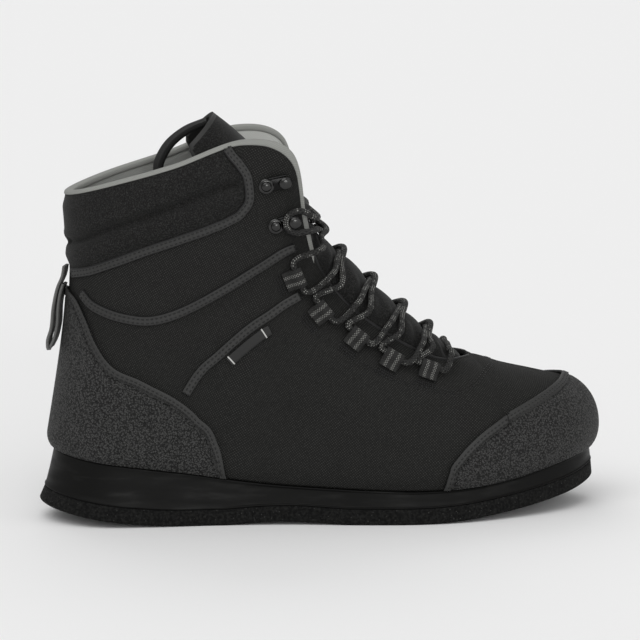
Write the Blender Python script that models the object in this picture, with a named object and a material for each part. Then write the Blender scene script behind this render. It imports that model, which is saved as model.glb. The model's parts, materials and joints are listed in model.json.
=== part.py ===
"""Wading boot for the right foot, about EU 43, standing empty on its felt sole.

Metres. X runs from heel to toe, Y towards the inner (medial) side, Z up. The origin lies on
the floor, in the middle of the heel's flat tread.
"""

import math

import bmesh
import bpy
import numpy as np
from mathutils import Matrix, Vector

# Lengths and heights of the whole boot
BOOT_LENGTH = 0.320
BALL_WIDTH = 0.108
TOE_HEIGHT = 0.0755
COLLAR_HEIGHT = 0.218
COLLAR_WIDTH = 0.086
THROAT_WIDTH = 0.058

# Sole
FELT_THICKNESS = 0.009
FOREFOOT_SEAT = 0.0185
HEEL_SEAT = 0.0410
HEEL_RISE = 0.0100
TOE_RISE = 0.0145
ARCH_RISE = 0.0018
SOLE_FLARE = 0.0080
SOLE_MARGIN = 0.0010
FELT_EDGE = 0.0015
HEEL_FLAT_START, HEEL_FLAT_END = 0.250, 0.325
FORE_FLAT_START, FORE_FLAT_END = 0.538, 0.675
HEEL_REST = (HEEL_FLAT_START + HEEL_FLAT_END) / 2

# Walls
WALL = 0.0024
COLLAR_WALL = 0.0060
BULGE_OUT = 0.0050
BULGE_UP = 0.0140
PAD_PUFF = 0.0014
GAP = 0.0003
OVERLAY = 0.0013

# Sizes of the sole's side
FELT_SHARE = 0.35
FLARE_WAIST = 0.30
MIDSOLE_WAIST = 0.50
MIDSOLE_STEP = 0.0006
MIDSOLE_ROUND = 0.0008
INSOLE_THICKNESS = 0.0030
INSOLE_CLEARANCE = 0.0008

# Overlays, bands and straps
LIFT = 0.0006
BAND_LIFT = 0.0010
BAND_WIDTH = 0.0055
LABEL_WIDTH = 0.0060
LABEL_THICKNESS = 0.0008
STRAP_THICKNESS = 0.0015
HEEL_LOOP_WIDTH = 0.0150
HEEL_LOOP_REACH = 0.0085
TONGUE_LOOP_WIDTH = 0.0120

# Padding
CHANNEL_LEVEL = 0.105
CHANNEL_SPREAD = 0.030
PAD_START = 0.020
PAD_EDGE_LEVEL = 0.060
PAD_EDGE_STATIONS = 0.35
PAD_FLOOR = 0.135
COLLAR_FRONT = 0.46
PAD_FADE = 0.10

# Tongue
TONGUE_THICKNESS = 0.0046
TONGUE_EDGE = 0.0016
TONGUE_DEPTH = 0.010
FLAP_START = 0.80

# Lace, loops and hooks
LACE_RADIUS = 0.00175
LACE_FIT = 0.0006
LACE_OVER = 0.0030
LACE_OVER_EDGE = 0.0057
SHOULDER_RISE = 1.25
LOOP_WIDTH = 0.0110
LOOP_LENGTH = 0.0120
LOOP_FOOT = 0.0010
LOOP_STRAP = 0.0010
LACE_SEAT = 0.18
LACE_REACH = 2.0
LACE_BEND = 0.0035
LACE_SHOULDER = 0.45
CROSS_RISE = 1.35
LIP_LEVEL = 0.985
LIP_AHEAD = 0.0015
HOOK_LENGTH = 0.0190
HOOK_WIDTH = 0.0070
HOOK_NECK = 0.0042
HOOK_STRAP = 0.0009
HOOK_SHOULDER = 0.38
HOOK_TAIL = 0.16
RIVET_RADIUS = 0.0031
RIVET_HEIGHT = 0.0022
RIVET_SEAT = 0.18

# Outlines, as shares of the sizes above
RIVET_PROFILE = ((1.0, 0.0), (1.0, 0.25), (0.84, 0.68), (0.52, 0.92), (0.0, 1.0))
LOOP_OUTLINE = ((-.50, .16), (-.28, .50), (-.02, .86), (.16, 1.0), (.36, .94), (.47, .62), (.48, .30),
                (.40, .0), (.16, .0), (-.14, .0), (-.42, .0))
HOOK_PROFILE = ((.00, .00), (.16, .00), (.33, .00), (.50, .00), (.62, .01), (.72, .06), (.78, .16),
                (.78, .30), (.70, .40), (.58, .42), (.49, .38))
HOOK_TURN = ((.90, -.32, 1.15), (.68, -.29, 1.0), (.53, -.18, 1.0), (.47, .00, 1.0), (.53, .18, 1.0),
             (.68, .29, 1.0), (.90, .33, 1.15))

# Seams on the upper. Each row is (station, level): stations count from the toe tip along
# STATIONS, and levels run from 0 at the sole to 1 at the top line.
COLLAR_BAND = ((14.45, .679), (14.1, .684), (13.6, .69), (12.95, .71), (12.3, .735), (11.85, .745),
               (11.4, .75), (11.1, .762), (10.9, .785), (10.80, .823), (10.86, .875), (11.02, .927),
               (11.17, .965))
ANKLE_BAND = ((13.9, .600), (13.6, .562), (13.15, .525), (12.7, .496), (12.25, .480), (11.8, .489),
              (11.4, .510), (10.98, .545), (10.53, .593), (10.0, .665), (9.6, .740), (9.25, .815))
QUARTER_BAND = ((11.33, .250), (11.17, .295), (10.75, .362), (10.28, .435), (9.7, .525), (9.2, .630),
                (8.8, .715))
COUNTER_EDGE = ((10.3, .012), (10.37, .08), (10.56, .14), (11.0, .19), (11.56, .24), (12.25, .29),
                (12.88, .34), (13.25, .41), (13.62, .50), (14.0, .57), (14.5, .605), (15.0, .615))
CAP_EDGE = ((5.50, .012), (5.40, .08), (5.19, .16), (4.81, .26), (4.12, .36), (3.31, .45),
            (2.50, .55), (1.75, .65), (1.0, .74), (.45, .79), (0.0, .81))
LABEL_LINE = ((10.44, .352), (10.05, .412), (9.67, .474))

# One row for each section of the tongue, from its root under the vamp to its peak. station is
# where its edges hang; depth, lift and tuck are shares of TONGUE_DEPTH; along is a share of
# BOOT_LENGTH and high of COLLAR_HEIGHT, for the ridge; flap is the level that its hem goes down.
TONGUE = {
    "root":      (4.30, .40, .00, .7650, .3880, 0.6, .04),
    "low":       (5.15, .38, .00, .7170, .4420, 1.2, .07),
    "instep 1":  (5.90, .38, .00, .6720, .4985, 1.3, .08),
    "instep 2":  (6.60, .38, .00, .6180, .5670, 1.3, .08),
    "instep 3":  (7.25, .38, .00, .5660, .6430, 1.3, .08),
    "shin 1":    (8.00, .38, .00, .5260, .6960, 1.3, .08),
    "shin 2":    (8.60, .42, .00, .4940, .7600, 1.2, .08),
    "shin 3":    (9.30, .50, .00, .4640, .8330, 0.9, .08),
    "neck":      (10.1, .85, -1.0, .4280, .9080, 0.4, .06),
    "wing low":  (10.9, 1.05, -1.2, .3860, .9760, .00, .04),
    "wing high": (11.55, 1.35, -.60, .3550, 1.0200, .00, .03),
    "peak":      (11.80, 1.60, .75, .3234, 1.0578, .00, .02),
}
TONGUE_LOOP = ((.3124, 1.0344), (.275, 1.0120), (.2390, .9665), (.2240, .9147), (.232, .868),
               (.264, .870), (.306, .921), (.3566, .9810))
# (level up the heel's back line, share of HEEL_LOOP_REACH out from it)
HEEL_LOOP = ((.705, .26), (.665, .36), (.620, .62), (.535, .84), (.440, .86), (.385, .98),
             (.360, .86), (.385, .66), (.450, .48), (.540, .52), (.600, .42), (.628, .30))

# Five loops a side from the collar down, as (station, level, lean): lean is how far a loop
# leans towards the toe for each unit that it rises.
LACE_LOOPS = {
    "first":  (9.08, .735, .85),
    "second": (8.06, .760, .78),
    "third":  (7.06, .785, .70),
    "fourth": (6.31, .780, .60),
    "fifth":  (5.50, .800, .40),
}
# (station, level) of each hook's tail, and of the point it looks at
HOOKS = {
    "upper": (10.63, .860, 10.07, .902),
    "lower": (10.26, .748, 9.42, .878),
}
# Each pass of the lace over the throat, from the lowest bar to the end above the hooks, as
# (ridge, below, above): ridge counts rows of TONGUE, and below and above are the stations where
# the strands from the loops below and above it cross the throat's edge.
LACE_PASSES = {
    "bar":     (.70, 4.85, 4.85),
    "fifth":   (1.50, 5.38, 5.62),
    "fourth":  (2.42, 6.10, 6.34),
    "third":   (3.42, 6.74, 7.00),
    "second":  (4.58, 7.50, 7.80),
    "first":   (5.55, 8.42, 8.85),
    "end":     (6.05, 9.06, 9.06),
}

# How finely each piece is cut
MERGE = 1e-6
SHARP_ANGLE = 40
SOLE_ACROSS = 4
BAND_SECTIONS = 17
STRAP_SECTIONS = 17
TONGUE_SECTIONS = 20
HOOK_SECTIONS = 13
RIVET_SIDES = 8
LACE_SIDES = 5
SOLE_CUTS = (0, .5, 1, 1.5, 2, 2.5, 3, 3.5, 4, 5, 5.9, 6.7, 7.55, 8.6, 9.5, 10.4, 10.83, 11.25, 12,
             12.6, 13.1, 13.5, 13.9, 14.3, 14.65, 15)
UPPER_CUTS = (0, .5, 1, 1.5, 2, 2.5, 3, 3.5, 4, 4.12, 4.3, 4.6, 5, 5.5, 6, 6.5, 7, 7.5, 8, 8.5, 9,
              9.4, 9.7, 10, 10.3, 10.6, 11, 11.5, 12, 12.5, 13, 13.4, 13.8, 14.2, 14.6, 15)
UPPER_LEVELS = (0, .05, .11, .2, .3, .42, .54, .66, .75, .83, .91, .96, 1)
TONGUE_ACROSS = (-1, -.8, -.6, -.4, -.2, 0, .2, .4, .6, .8, 1)

# One row for each station from the toe tip round either side to the heel. Lengths are shares:
# along, top_along of BOOT_LENGTH; lateral, medial, swing of BALL_WIDTH; seat of the rise from
# FOREFOOT_SEAT to HEEL_SEAT; flare of SOLE_FLARE; bulge of BULGE_OUT; rise of BULGE_UP; half of
# the throat's or the collar's half width; top of the rise from TOE_HEIGHT to COLLAR_HEIGHT.
# low_in, low_up, high_in and high_up place the handles of the side's curve between the
# widest line and the top line, and slope is that of the ridge.
COLUMNS = ("along", "lateral", "medial", "seat", "flare", "bulge", "rise", "top_along", "half",
           "top", "swing", "slope", "low_in", "low_up", "high_in", "high_up")
STATIONS = {
    "toe tip":       (.991, -.056, .056, .590, .18, 1.0, .92, .906, .40, .000, .046, -.08, .00, .56, .36, 1.0),
    "toe round":     (.977, .088, .190, .572, .20, 1.0, .92, .889, .42, .008, .042, -.12, .00, .56, .38, 1.0),
    "toe corner":    (.941, .236, .315, .500, .24, .95, .94, .859, .46, .026, .032, -.18, .00, .56, .40, 1.0),
    "toe side":      (.888, .343, .398, .340, .28, .85, .98, .819, .52, .052, .018, -.27, .00, .54, .42, 1.0),
    "vamp point":    (.825, .421, .458, .145, .32, .80, 1.0, .775, .60, .088, .006, -.34, .00, .52, .46, .97),
    "ball front":    (.750, .486, .491, .030, .34, .75, 1.0, .716, .76, .096, .000, -.10, .00, .50, .52, .80),
    "ball":          (.666, .505, .477, .000, .34, .75, 1.0, .638, .93, .186, .000, .00, .00, .42, .47, .70),
    "instep low":    (.584, .477, .421, .035, .36, .70, 1.0, .553, 1.0, .332, .000, .00, .00, .34, .42, .70),
    "instep":        (.506, .431, .370, .090, .42, .60, 1.0, .500, 1.07, .498, .000, .00, .00, .32, .36, .71),
    "instep high":   (.428, .389, .338, .160, .48, .55, 1.0, .478, 1.26, .698, .000, .00, .02, .34, .52, .72),
    "collar corner": (.353, .361, .329, .280, .52, .55, .96, .455, 1.43, .947, .000, .00, .10, .38, .80, .70),
    "collar front":  (.275, .347, .333, .460, .56, .58, .90, .369, 1.48, 1.000, .000, .00, .20, .40, .95, .68),
    "ankle":         (.191, .343, .338, .630, .66, .58, .84, .247, 1.36, .907, .000, .00, .30, .42, 1.05, .67),
    "heel side":     (.106, .310, .310, .790, .86, .56, .76, .141, 1.12, .840, .000, .00, .55, .44, 1.18, .66),
    "heel round":    (.050, .176, .176, .930, 1.05, .56, .68, .080, .640, .800, .000, .00, .85, .45, 1.30, .65),
    "heel back":     (.030, .000, .000, 1.00, 1.12, .56, .64, .058, .000, .786, .000, .00, .97, .45, 1.38, .65),
}
LAST = len(STATIONS) - 1
AROUND = 2 * LAST
VAMP_POINT = 4
WIDEST = 0.10
TINY = 1e-4


def loop_of(column):
    """A column's values round the whole boot: toe tip, lateral side, heel, medial side."""
    place = COLUMNS.index(column)
    rows = [row[place] for row in STATIONS.values()]
    return np.array(rows + rows[-2:0:-1], float)


def signed_loop(lateral, medial):
    rows = [-row[COLUMNS.index(lateral)] for row in STATIONS.values()]
    other = [row[COLUMNS.index(medial)] for row in STATIONS.values()]
    return np.array(rows + other[-2:0:-1], float)


LOOPS = {name: loop_of(name) for name in COLUMNS}
LOOPS["side"] = signed_loop("lateral", "medial")
LOOPS["half"] = signed_loop("half", "half")


def spline(values, u):
    """A smooth closed curve through values, read at u, which counts stations."""
    start = np.floor(u).astype(int)
    t = u - start
    a, b, c, d = (values[(start + step) % AROUND] for step in (-1, 0, 1, 2))
    return 0.5 * (2 * b + (c - a) * t + (2 * a - 5 * b + 4 * c - d) * t**2
                  + (3 * b - a - 3 * c + d) * t**3)


def row_of(u):
    """How far station u lies from the toe tip, 0 to LAST, on either side."""
    u = np.mod(u, AROUND)
    return np.minimum(u, AROUND - u)


def smooth(x):
    x = np.clip(x, 0, 1)
    return x * x * (3 - 2 * x)


def feather(u, out=0.0):
    """Plan point on the line where the upper meets the sole, moved outwards by out."""
    u = np.asarray(u, float)
    along, side = (
        lambda w: BOOT_LENGTH * (spline(LOOPS["along"], w) - HEEL_REST),
        lambda w: BALL_WIDTH * spline(LOOPS["side"], w),
    )
    dx = along(u + TINY) - along(u - TINY)
    dy = side(u + TINY) - side(u - TINY)
    size = np.hypot(dx, dy)
    normal = np.stack([-dy / size, dx / size], -1)
    point = np.stack([along(u), side(u)], -1)
    return point + normal * np.asarray(out)[..., None], normal


def seat_height(u):
    """Height of the sole's top edge, where the upper stands."""
    return FOREFOOT_SEAT + (HEEL_SEAT - FOREFOOT_SEAT) * spline(LOOPS["seat"], u)


def tread_height(x):
    """Height of the sole's underside: a flat heel and forefoot, raised at arch, heel and toe."""
    share = x / BOOT_LENGTH + HEEL_REST
    heel = np.clip((HEEL_FLAT_START - share) / HEEL_FLAT_START, 0, None) ** 1.6
    toe = np.clip((share - FORE_FLAT_END) / (1 - FORE_FLAT_END), 0, None) ** 1.6
    arch = np.clip((share - HEEL_FLAT_END) / (FORE_FLAT_START - HEEL_FLAT_END), 0, 1)
    return HEEL_RISE * heel + TOE_RISE * toe + ARCH_RISE * np.sin(math.pi * arch) ** 1.3


def throat_opening(u):
    """0 where the two sides meet on the ridge, rising in a round end to 1 along the throat."""
    t = np.clip(row_of(u) - VAMP_POINT, 0, 1)
    return np.sqrt(1 - (1 - t) ** 2)


def top_line(u):
    """The upper's top line: ridge, then throat edge, then collar."""
    x = BOOT_LENGTH * (spline(LOOPS["top_along"], u) - HEEL_REST)
    half = THROAT_WIDTH / 2 * np.clip(np.abs(spline(LOOPS["half"], u)), 0, 1)
    more = (COLLAR_WIDTH - THROAT_WIDTH) / 2 / 0.48
    half = half + more * np.clip(np.abs(spline(LOOPS["half"], u)) - 1, 0, None)
    sign = np.sign(spline(LOOPS["half"], u))
    swing = BALL_WIDTH * spline(LOOPS["swing"], u)
    y = swing + sign * half * throat_opening(u)
    z = TOE_HEIGHT + (COLLAR_HEIGHT - TOE_HEIGHT) * spline(LOOPS["top"], u)
    return np.stack([x, y, z], -1)


def bare_skin(u, v):
    """The upper's outer surface without its pads. v runs from the sole, 0, to the top line, 1."""
    u, v = np.broadcast_arrays(np.asarray(u, float), np.asarray(v, float))
    plan, normal = feather(u)
    foot = np.concatenate([plan, seat_height(u)[..., None] + GAP], -1)
    out = BULGE_OUT * spline(LOOPS["bulge"], u)
    rise = BULGE_UP * spline(LOOPS["rise"], u)
    wide = foot + np.concatenate([normal * out[..., None], rise[..., None]], -1)
    top = top_line(u)
    span = top - wide
    low_in, low_up = spline(LOOPS["low_in"], u), spline(LOOPS["low_up"], u)
    high_in, high_up = spline(LOOPS["high_in"], u), spline(LOOPS["high_up"], u)
    low = wide + span * np.stack([low_in, low_in, low_up], -1)
    high = wide + span * np.stack([high_in, high_in, high_up], -1)
    high[..., 2] += spline(LOOPS["slope"], u) * (high[..., 0] - top[..., 0])
    lift = low - wide
    lift /= np.linalg.norm(lift, axis=-1, keepdims=True)
    hem = wide - lift * (0.65 * rise)[..., None]
    s = np.clip(v / WIDEST, 0, 1)[..., None]
    t = np.clip((v - WIDEST) / (1 - WIDEST), 0, 1)[..., None]
    lower = (1 - s) ** 2 * foot + 2 * s * (1 - s) * hem + s**2 * wide
    upper = ((1 - t) ** 3 * wide + 3 * t * (1 - t) ** 2 * low
             + 3 * t**2 * (1 - t) * high + t**3 * top)
    return np.where((v < WIDEST)[..., None], lower, upper)


def skin_normal(u, v):
    u, v = np.broadcast_arrays(np.asarray(u, float), np.asarray(v, float))
    step = 4e-3
    v = np.clip(v, step, 1 - step)
    across = bare_skin(u + step, v) - bare_skin(u - step, v)
    up = bare_skin(u, v + step) - bare_skin(u, v - step)
    normal = np.cross(up, across)
    return normal / np.linalg.norm(normal, axis=-1, keepdims=True)


def slope_along(u, v, axis):
    step = 4e-3
    v = np.clip(v, step, 1 - step)
    if axis == "up":
        run = bare_skin(u, v + step) - bare_skin(u, v - step)
    else:
        run = bare_skin(u + step, v) - bare_skin(u - step, v)
    return run / np.linalg.norm(run, axis=-1, keepdims=True)


def smooth_line(rows, count):
    """count points along a smooth open curve through rows."""
    rows = np.asarray(rows, float)
    at = np.linspace(0, len(rows) - 1, count)
    start = np.clip(np.floor(at).astype(int), 0, len(rows) - 2)
    t = (at - start)[:, None]
    a, b, c, d = (rows[np.clip(start + step, 0, len(rows) - 1)] for step in (-1, 0, 1, 2))
    return 0.5 * (2 * b + (c - a) * t + (2 * a - 5 * b + 4 * c - d) * t**2
                  + (3 * b - a - 3 * c + d) * t**3)


def rounded_line(points, bend):
    """A line whose corners are cut off bend away from them, so that it never swings wide."""
    points = np.asarray(points, float)
    cut = [points[0]]
    for before, corner, after in zip(points, points[1:], points[2:]):
        for end in (before, after):
            away = end - corner
            cut.append(corner + away * min(bend / np.linalg.norm(away), 0.4))
    return np.array([*cut, points[-1]])


def pad_front(v):
    """The station where the collar pads end in front, at each level."""
    levels = [row[1] for row in COLLAR_BAND]
    return np.interp(v, levels[6:], [row[0] for row in COLLAR_BAND][6:])


def puff(u, v):
    """How far the collar's pads swell, from the band under them to the collar's rim."""
    row = row_of(u)
    floor = np.interp(row, [p[0] for p in COLLAR_BAND[6::-1]], [p[1] for p in COLLAR_BAND[6::-1]])
    above = smooth((v - floor - PAD_START) / PAD_EDGE_LEVEL)
    behind = smooth((row - pad_front(v)) / PAD_EDGE_STATIONS)
    groove = np.exp(-(((v - floor - CHANNEL_LEVEL) / CHANNEL_SPREAD) ** 2))
    rim = smooth((1 - v) / PAD_EDGE_LEVEL)
    return PAD_PUFF * above * behind * rim * (1 - groove)


def skin(u, v, out=0.0):
    """A point of the upper's outer face, moved out along its normal, never below its foot."""
    u, v = np.broadcast_arrays(np.asarray(u, float), np.asarray(v, float))
    far = (puff(u, v) + np.asarray(out))[..., None]
    point = bare_skin(u, v) + skin_normal(u, v) * far
    point[..., 2] = np.maximum(point[..., 2], seat_height(u) + GAP)
    return point


def other_side(u):
    return AROUND - np.asarray(u, float)


# Meshes


def clear_scene():
    for found in list(bpy.data.objects):
        bpy.data.objects.remove(found, do_unlink=True)


def paint(name, tone, roughness, metallic=0.0):
    material = bpy.data.materials.new(name)
    material.use_nodes = True
    shader = material.node_tree.nodes["Principled BSDF"]
    shader.inputs["Base Color"].default_value = (*tone, 1)
    shader.inputs["Roughness"].default_value = roughness
    shader.inputs["Metallic"].default_value = metallic
    material.diffuse_color = (*tone, 1)
    return material


def grid(rows, around, point):
    """A bmesh grid of rows by around cells whose corners are put at point[i, j]."""
    bm = bmesh.new()
    bmesh.ops.create_grid(bm, x_segments=rows, y_segments=around, size=1)
    for vert in bm.verts:
        i = round((vert.co.x + 1) / 2 * rows)
        j = round((vert.co.y + 1) / 2 * around)
        vert.co = Vector(point[i, j])
    bmesh.ops.remove_doubles(bm, verts=bm.verts, dist=MERGE)
    return bm


def finish(bm, name, material, parent):
    mesh = bpy.data.meshes.new(name)
    bm.to_mesh(mesh)
    bm.free()
    mesh.shade_smooth()
    mesh.set_sharp_from_angle(angle=math.radians(SHARP_ANGLE))
    return place(name, mesh, material, parent)


def place(name, mesh, material, parent):
    made = bpy.data.objects.new(name, mesh)
    bpy.context.collection.objects.link(made)
    made.parent = parent
    if not mesh.materials:
        mesh.materials.append(material)
    return made


def loft(name, sections, material, parent, ring=False):
    """A solid through closed sections of equal count. An end section that is a single line
    or point closes the solid there, and any other end is capped."""
    sections = np.asarray(sections, float)
    sections = np.concatenate([sections, sections[:, :1]], 1)
    if ring:
        sections = np.concatenate([sections, sections[:1]], 0)
    bm = grid(len(sections) - 1, sections.shape[1] - 1, sections)
    bmesh.ops.holes_fill(bm, edges=[edge for edge in bm.edges if edge.is_boundary], sides=0)
    bmesh.ops.recalc_face_normals(bm, faces=bm.faces)
    return finish(bm, name, material, parent)


def ribbon_sections(path, across, up, width, thick, base=0.0):
    """Rectangular sections, width by thick, that start base above each point of a path."""
    corners = ((-1, 0), (1, 0), (1, 1), (-1, 1))
    return np.stack([path + across * (side * width / 2) + up * (base + high * thick)
                     for side, high in corners], 1)


def strap(name, path, width, thick, material, parent):
    """A strap of even thickness that follows a path in the XZ plane, its width along Y."""
    path = smooth_line(path, STRAP_SECTIONS)
    point = np.stack([path[:, 0], np.zeros(len(path)), path[:, 1]], -1)
    run = np.gradient(point, axis=0)
    run /= np.linalg.norm(run, axis=-1, keepdims=True)
    across = np.tile((0.0, 1.0, 0.0), (len(path), 1))
    up = np.cross(run, across)
    sections = ribbon_sections(point, across, up, width, thick, -thick / 2)
    return loft(name, sections, material, parent)


# Sole


def sole_sections(levels, top_height, bottom_height):
    """Sections across the sole, from toe tip to heel. Each level is (outward, height)."""
    u = np.array(SOLE_CUTS)
    inner = np.linspace(0, 1, SOLE_ACROSS + 1)[1:-1]
    sides = []
    for side in (u, other_side(u)):
        rings = []
        for outward, height in levels:
            plan, _ = feather(side, outward(side))
            rings.append(np.concatenate([plan, height(side, plan[:, 0])[:, None]], -1))
        sides.append(rings)
    near, far = sides

    def across(start, end, height):
        spread = []
        for share in inner:
            point = start + (end - start) * share
            point[:, 2] = height(u, point[:, 0])
            spread.append(point)
        return spread

    ring = near + across(near[-1], far[-1], top_height) + far[::-1]
    ring += across(far[0], near[0], bottom_height)
    return np.stack(ring, 1)


def flared(share):
    """Distance outside the upper's foot line, share of the way down the flare."""
    return lambda u: SOLE_MARGIN + share * SOLE_FLARE * spline(LOOPS["flare"], u)


def inset_by(distance):
    return lambda u: np.full(len(u), -distance)


def above_tread(high):
    return lambda u, x: tread_height(x) + high


def below_seat(low):
    return lambda u, x: seat_height(u) - low


def build_sole(body, felt, rubber, foam):
    edge = FELT_EDGE
    levels = (
        (lambda u: flared(1.0)(u) - edge, above_tread(0)),
        (flared(1.0), above_tread(edge)),
        (flared(1 - FELT_SHARE), above_tread(FELT_THICKNESS)),
    )
    sections = sole_sections(levels, above_tread(FELT_THICKNESS), above_tread(0))
    loft("felt_sole", sections, felt, body)
    seam = FELT_THICKNESS + GAP
    levels = (
        (lambda u: flared(1 - FELT_SHARE)(u) - MIDSOLE_STEP, above_tread(seam)),
        (lambda u: flared(FLARE_WAIST)(u), lambda u, x: middle_height(u, x, seam)),
        (flared(0.0), below_seat(MIDSOLE_ROUND)),
        (lambda u: flared(0.0)(u) - MIDSOLE_ROUND, below_seat(0)),
    )
    sections = sole_sections(levels, below_seat(0), above_tread(seam))
    loft("midsole", sections, rubber, body)
    fit = WALL + INSOLE_CLEARANCE
    levels = (
        (inset_by(fit), below_seat(-GAP)),
        (inset_by(fit), below_seat(-GAP - INSOLE_THICKNESS)),
    )
    sections = sole_sections(levels, below_seat(-GAP - INSOLE_THICKNESS), below_seat(-GAP))
    loft("insole", sections, foam, body)


def middle_height(u, x, seam):
    """Height halfway up the midsole's side."""
    low = tread_height(x) + seam
    return low + (seat_height(u) - low) * MIDSOLE_WAIST


# Upper


def build_upper(body, cloth):
    u, v = np.array(UPPER_CUTS), np.array(UPPER_LEVELS)
    u = np.concatenate([u, other_side(u[-2::-1])])
    station, level = np.meshgrid(u, v, indexing="ij")
    bm = grid(len(u) - 1, len(v) - 1, skin(station, level))
    bmesh.ops.reverse_faces(bm, faces=bm.faces)
    upper = finish(bm, "upper", cloth, body)
    wall = upper.vertex_groups.new(name="padded")
    high = np.array([vert.co[:] for vert in upper.data.vertices])
    padded = smooth((high[:, 2] - PAD_FLOOR) / (COLLAR_HEIGHT - PAD_FLOOR))
    front = BOOT_LENGTH * (COLLAR_FRONT - HEEL_REST)
    padded *= smooth((front - high[:, 0]) / (BOOT_LENGTH * PAD_FADE))
    for index, share in enumerate(padded):
        wall.add([index], (WALL + (COLLAR_WALL - WALL) * float(share)) / COLLAR_WALL, "REPLACE")
    solid = upper.modifiers.new("wall", "SOLIDIFY")
    solid.thickness = COLLAR_WALL
    solid.offset = -1
    solid.vertex_group = wall.name
    solid.use_even_offset = False
    return upper


def skin_patch(name, edge, material, body):
    """An overlay from the foot line up to an edge of (station, level) rows, on both sides."""
    line = smooth_line(edge, 80)
    line = line[np.argsort(line[:, 0])]
    ends = min(row[0] for row in edge), max(row[0] for row in edge)
    cuts = sorted({*(row[0] for row in edge[:3]), *ends,
                   *(cut for cut in UPPER_CUTS if ends[0] < cut < ends[1])})
    if ends[0] == 0:
        cuts = cuts[::-1]
    cuts = cuts + [float(other_side(cut)) for cut in cuts[-2::-1]]
    sections = []
    for cut in cuts:
        top = np.interp(row_of(cut), line[:, 0], line[:, 1])
        level = np.minimum(UPPER_LEVELS, top)
        outer = skin(np.full(len(level), cut), level, LIFT + OVERLAY)
        inner = skin(np.full(len(level), cut), level, LIFT)
        sections.append(np.concatenate([outer, inner[::-1]]))
    return loft(name, sections, material, body)


def skin_band(name, line, width, thick, lift, material, body, far=False):
    """A flat band along a line of (station, level) rows."""
    rows = smooth_line(line, BAND_SECTIONS)
    u, v = (other_side(rows[:, 0]) if far else rows[:, 0]), rows[:, 1]
    path = skin(u, v)
    run = np.gradient(path, axis=0)
    run /= np.linalg.norm(run, axis=-1, keepdims=True)
    out = skin_normal(u, v)
    across = np.cross(out, run)
    across /= np.linalg.norm(across, axis=-1, keepdims=True)
    return loft(name, ribbon_sections(path, across, out, width, thick, lift), material, body)


# Tongue


def tongue_values(s):
    rows = np.array(list(TONGUE.values()), float)
    s = np.asarray(s, float)
    start = np.clip(np.floor(s).astype(int), 0, len(rows) - 2)
    t = (s - start)[..., None]
    a, b, c, d = (rows[np.clip(start + step, 0, len(rows) - 1)] for step in (-1, 0, 1, 2))
    found = 0.5 * (2 * b + (c - a) * t + (2 * a - 5 * b + 4 * c - d) * t**2
                   + (3 * b - a - 3 * c + d) * t**3)
    return np.moveaxis(found, -1, 0)


def tongue_face(s, t):
    """The tongue's outer face: s counts rows from its root, t runs -1 to 1 across it."""
    s, t = np.broadcast_arrays(np.asarray(s, float), np.asarray(t, float))
    station, depth, lift, along, high, tuck, flap = tongue_values(s)
    ridge = np.stack([BOOT_LENGTH * (along - HEEL_REST), np.zeros(s.shape), COLLAR_HEIGHT * high], -1)
    lips, handles, hems = [], [], []
    for u in (station, other_side(station)):
        out = skin_normal(u, np.ones(s.shape))
        raised = np.stack([np.zeros(s.shape), np.zeros(s.shape), TONGUE_DEPTH * lift], -1)
        sunk = out * (TONGUE_DEPTH * depth)[..., None]
        lips.append(bare_skin(u, np.ones(s.shape)) - sunk + raised)
        hems.append(bare_skin(u, 1 - flap) - sunk + raised)
        handles.append(slope_along(u, np.ones(s.shape), "up") * (TONGUE_DEPTH * tuck)[..., None])
    shift = (ridge - (lips[0] + lips[1]) / 2) * 4 / 3 - (handles[0] + handles[1]) / 2
    w = np.clip((t / FLAP_START + 1) / 2, 0, 1)[..., None]
    arch = ((1 - w) ** 3 * lips[0] + 3 * w * (1 - w) ** 2 * (lips[0] + handles[0] + shift)
            + 3 * w**2 * (1 - w) * (lips[1] + handles[1] + shift) + w**3 * lips[1])
    fold = np.clip((np.abs(t) - FLAP_START) / (1 - FLAP_START), 0, 1)[..., None]
    hem = np.where((t < 0)[..., None], hems[0] - lips[0], hems[1] - lips[1])
    return arch + hem * fold


def tongue_point(s, t, out=0.0):
    """A point out from the tongue's outer face, along its normal."""
    step = 0.02
    run = tongue_face(s + step, t) - tongue_face(s - step, t)
    over = tongue_face(s, t + step) - tongue_face(s, t - step)
    normal = np.cross(over, run)
    normal /= np.linalg.norm(normal, axis=-1, keepdims=True)
    return tongue_face(s, t) + normal * np.asarray(out)[..., None]


def build_tongue(body, cloth, webbing):
    s = np.linspace(0, len(TONGUE) - 1, TONGUE_SECTIONS)
    t = np.array(TONGUE_ACROSS)
    rows, over = np.meshgrid(s, t, indexing="ij")
    thick = TONGUE_EDGE + (TONGUE_THICKNESS - TONGUE_EDGE) * (1 - np.abs(over) ** 3)
    outer = tongue_point(rows, over, np.zeros(rows.shape))
    inner = tongue_point(rows, over, -thick)
    sections = np.concatenate([outer, inner[:, ::-1]], 1)
    loft("tongue", sections, cloth, body)
    strap("tongue_pull_loop", side_view(TONGUE_LOOP), TONGUE_LOOP_WIDTH, STRAP_THICKNESS, webbing, body)


def side_view(rows):
    """(along, up) shares as X and Z."""
    rows = np.asarray(rows, float)
    return np.stack([BOOT_LENGTH * (rows[:, 0] - HEEL_REST), COLLAR_HEIGHT * rows[:, 1]], -1)


# Lace, its loops and hooks


def skin_place(u, v, toward, lift):
    """A frame on the skin at (u, v): X towards a direction, Z outwards, raised by lift."""
    out = skin_normal(u, v)
    run = toward - out * float(toward @ out)
    run /= np.linalg.norm(run)
    matrix = Matrix.Identity(4)
    for column, axis in enumerate((run, np.cross(out, run), out, skin(u, v, lift))):
        matrix.col[column][:3] = axis
    return matrix


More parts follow.
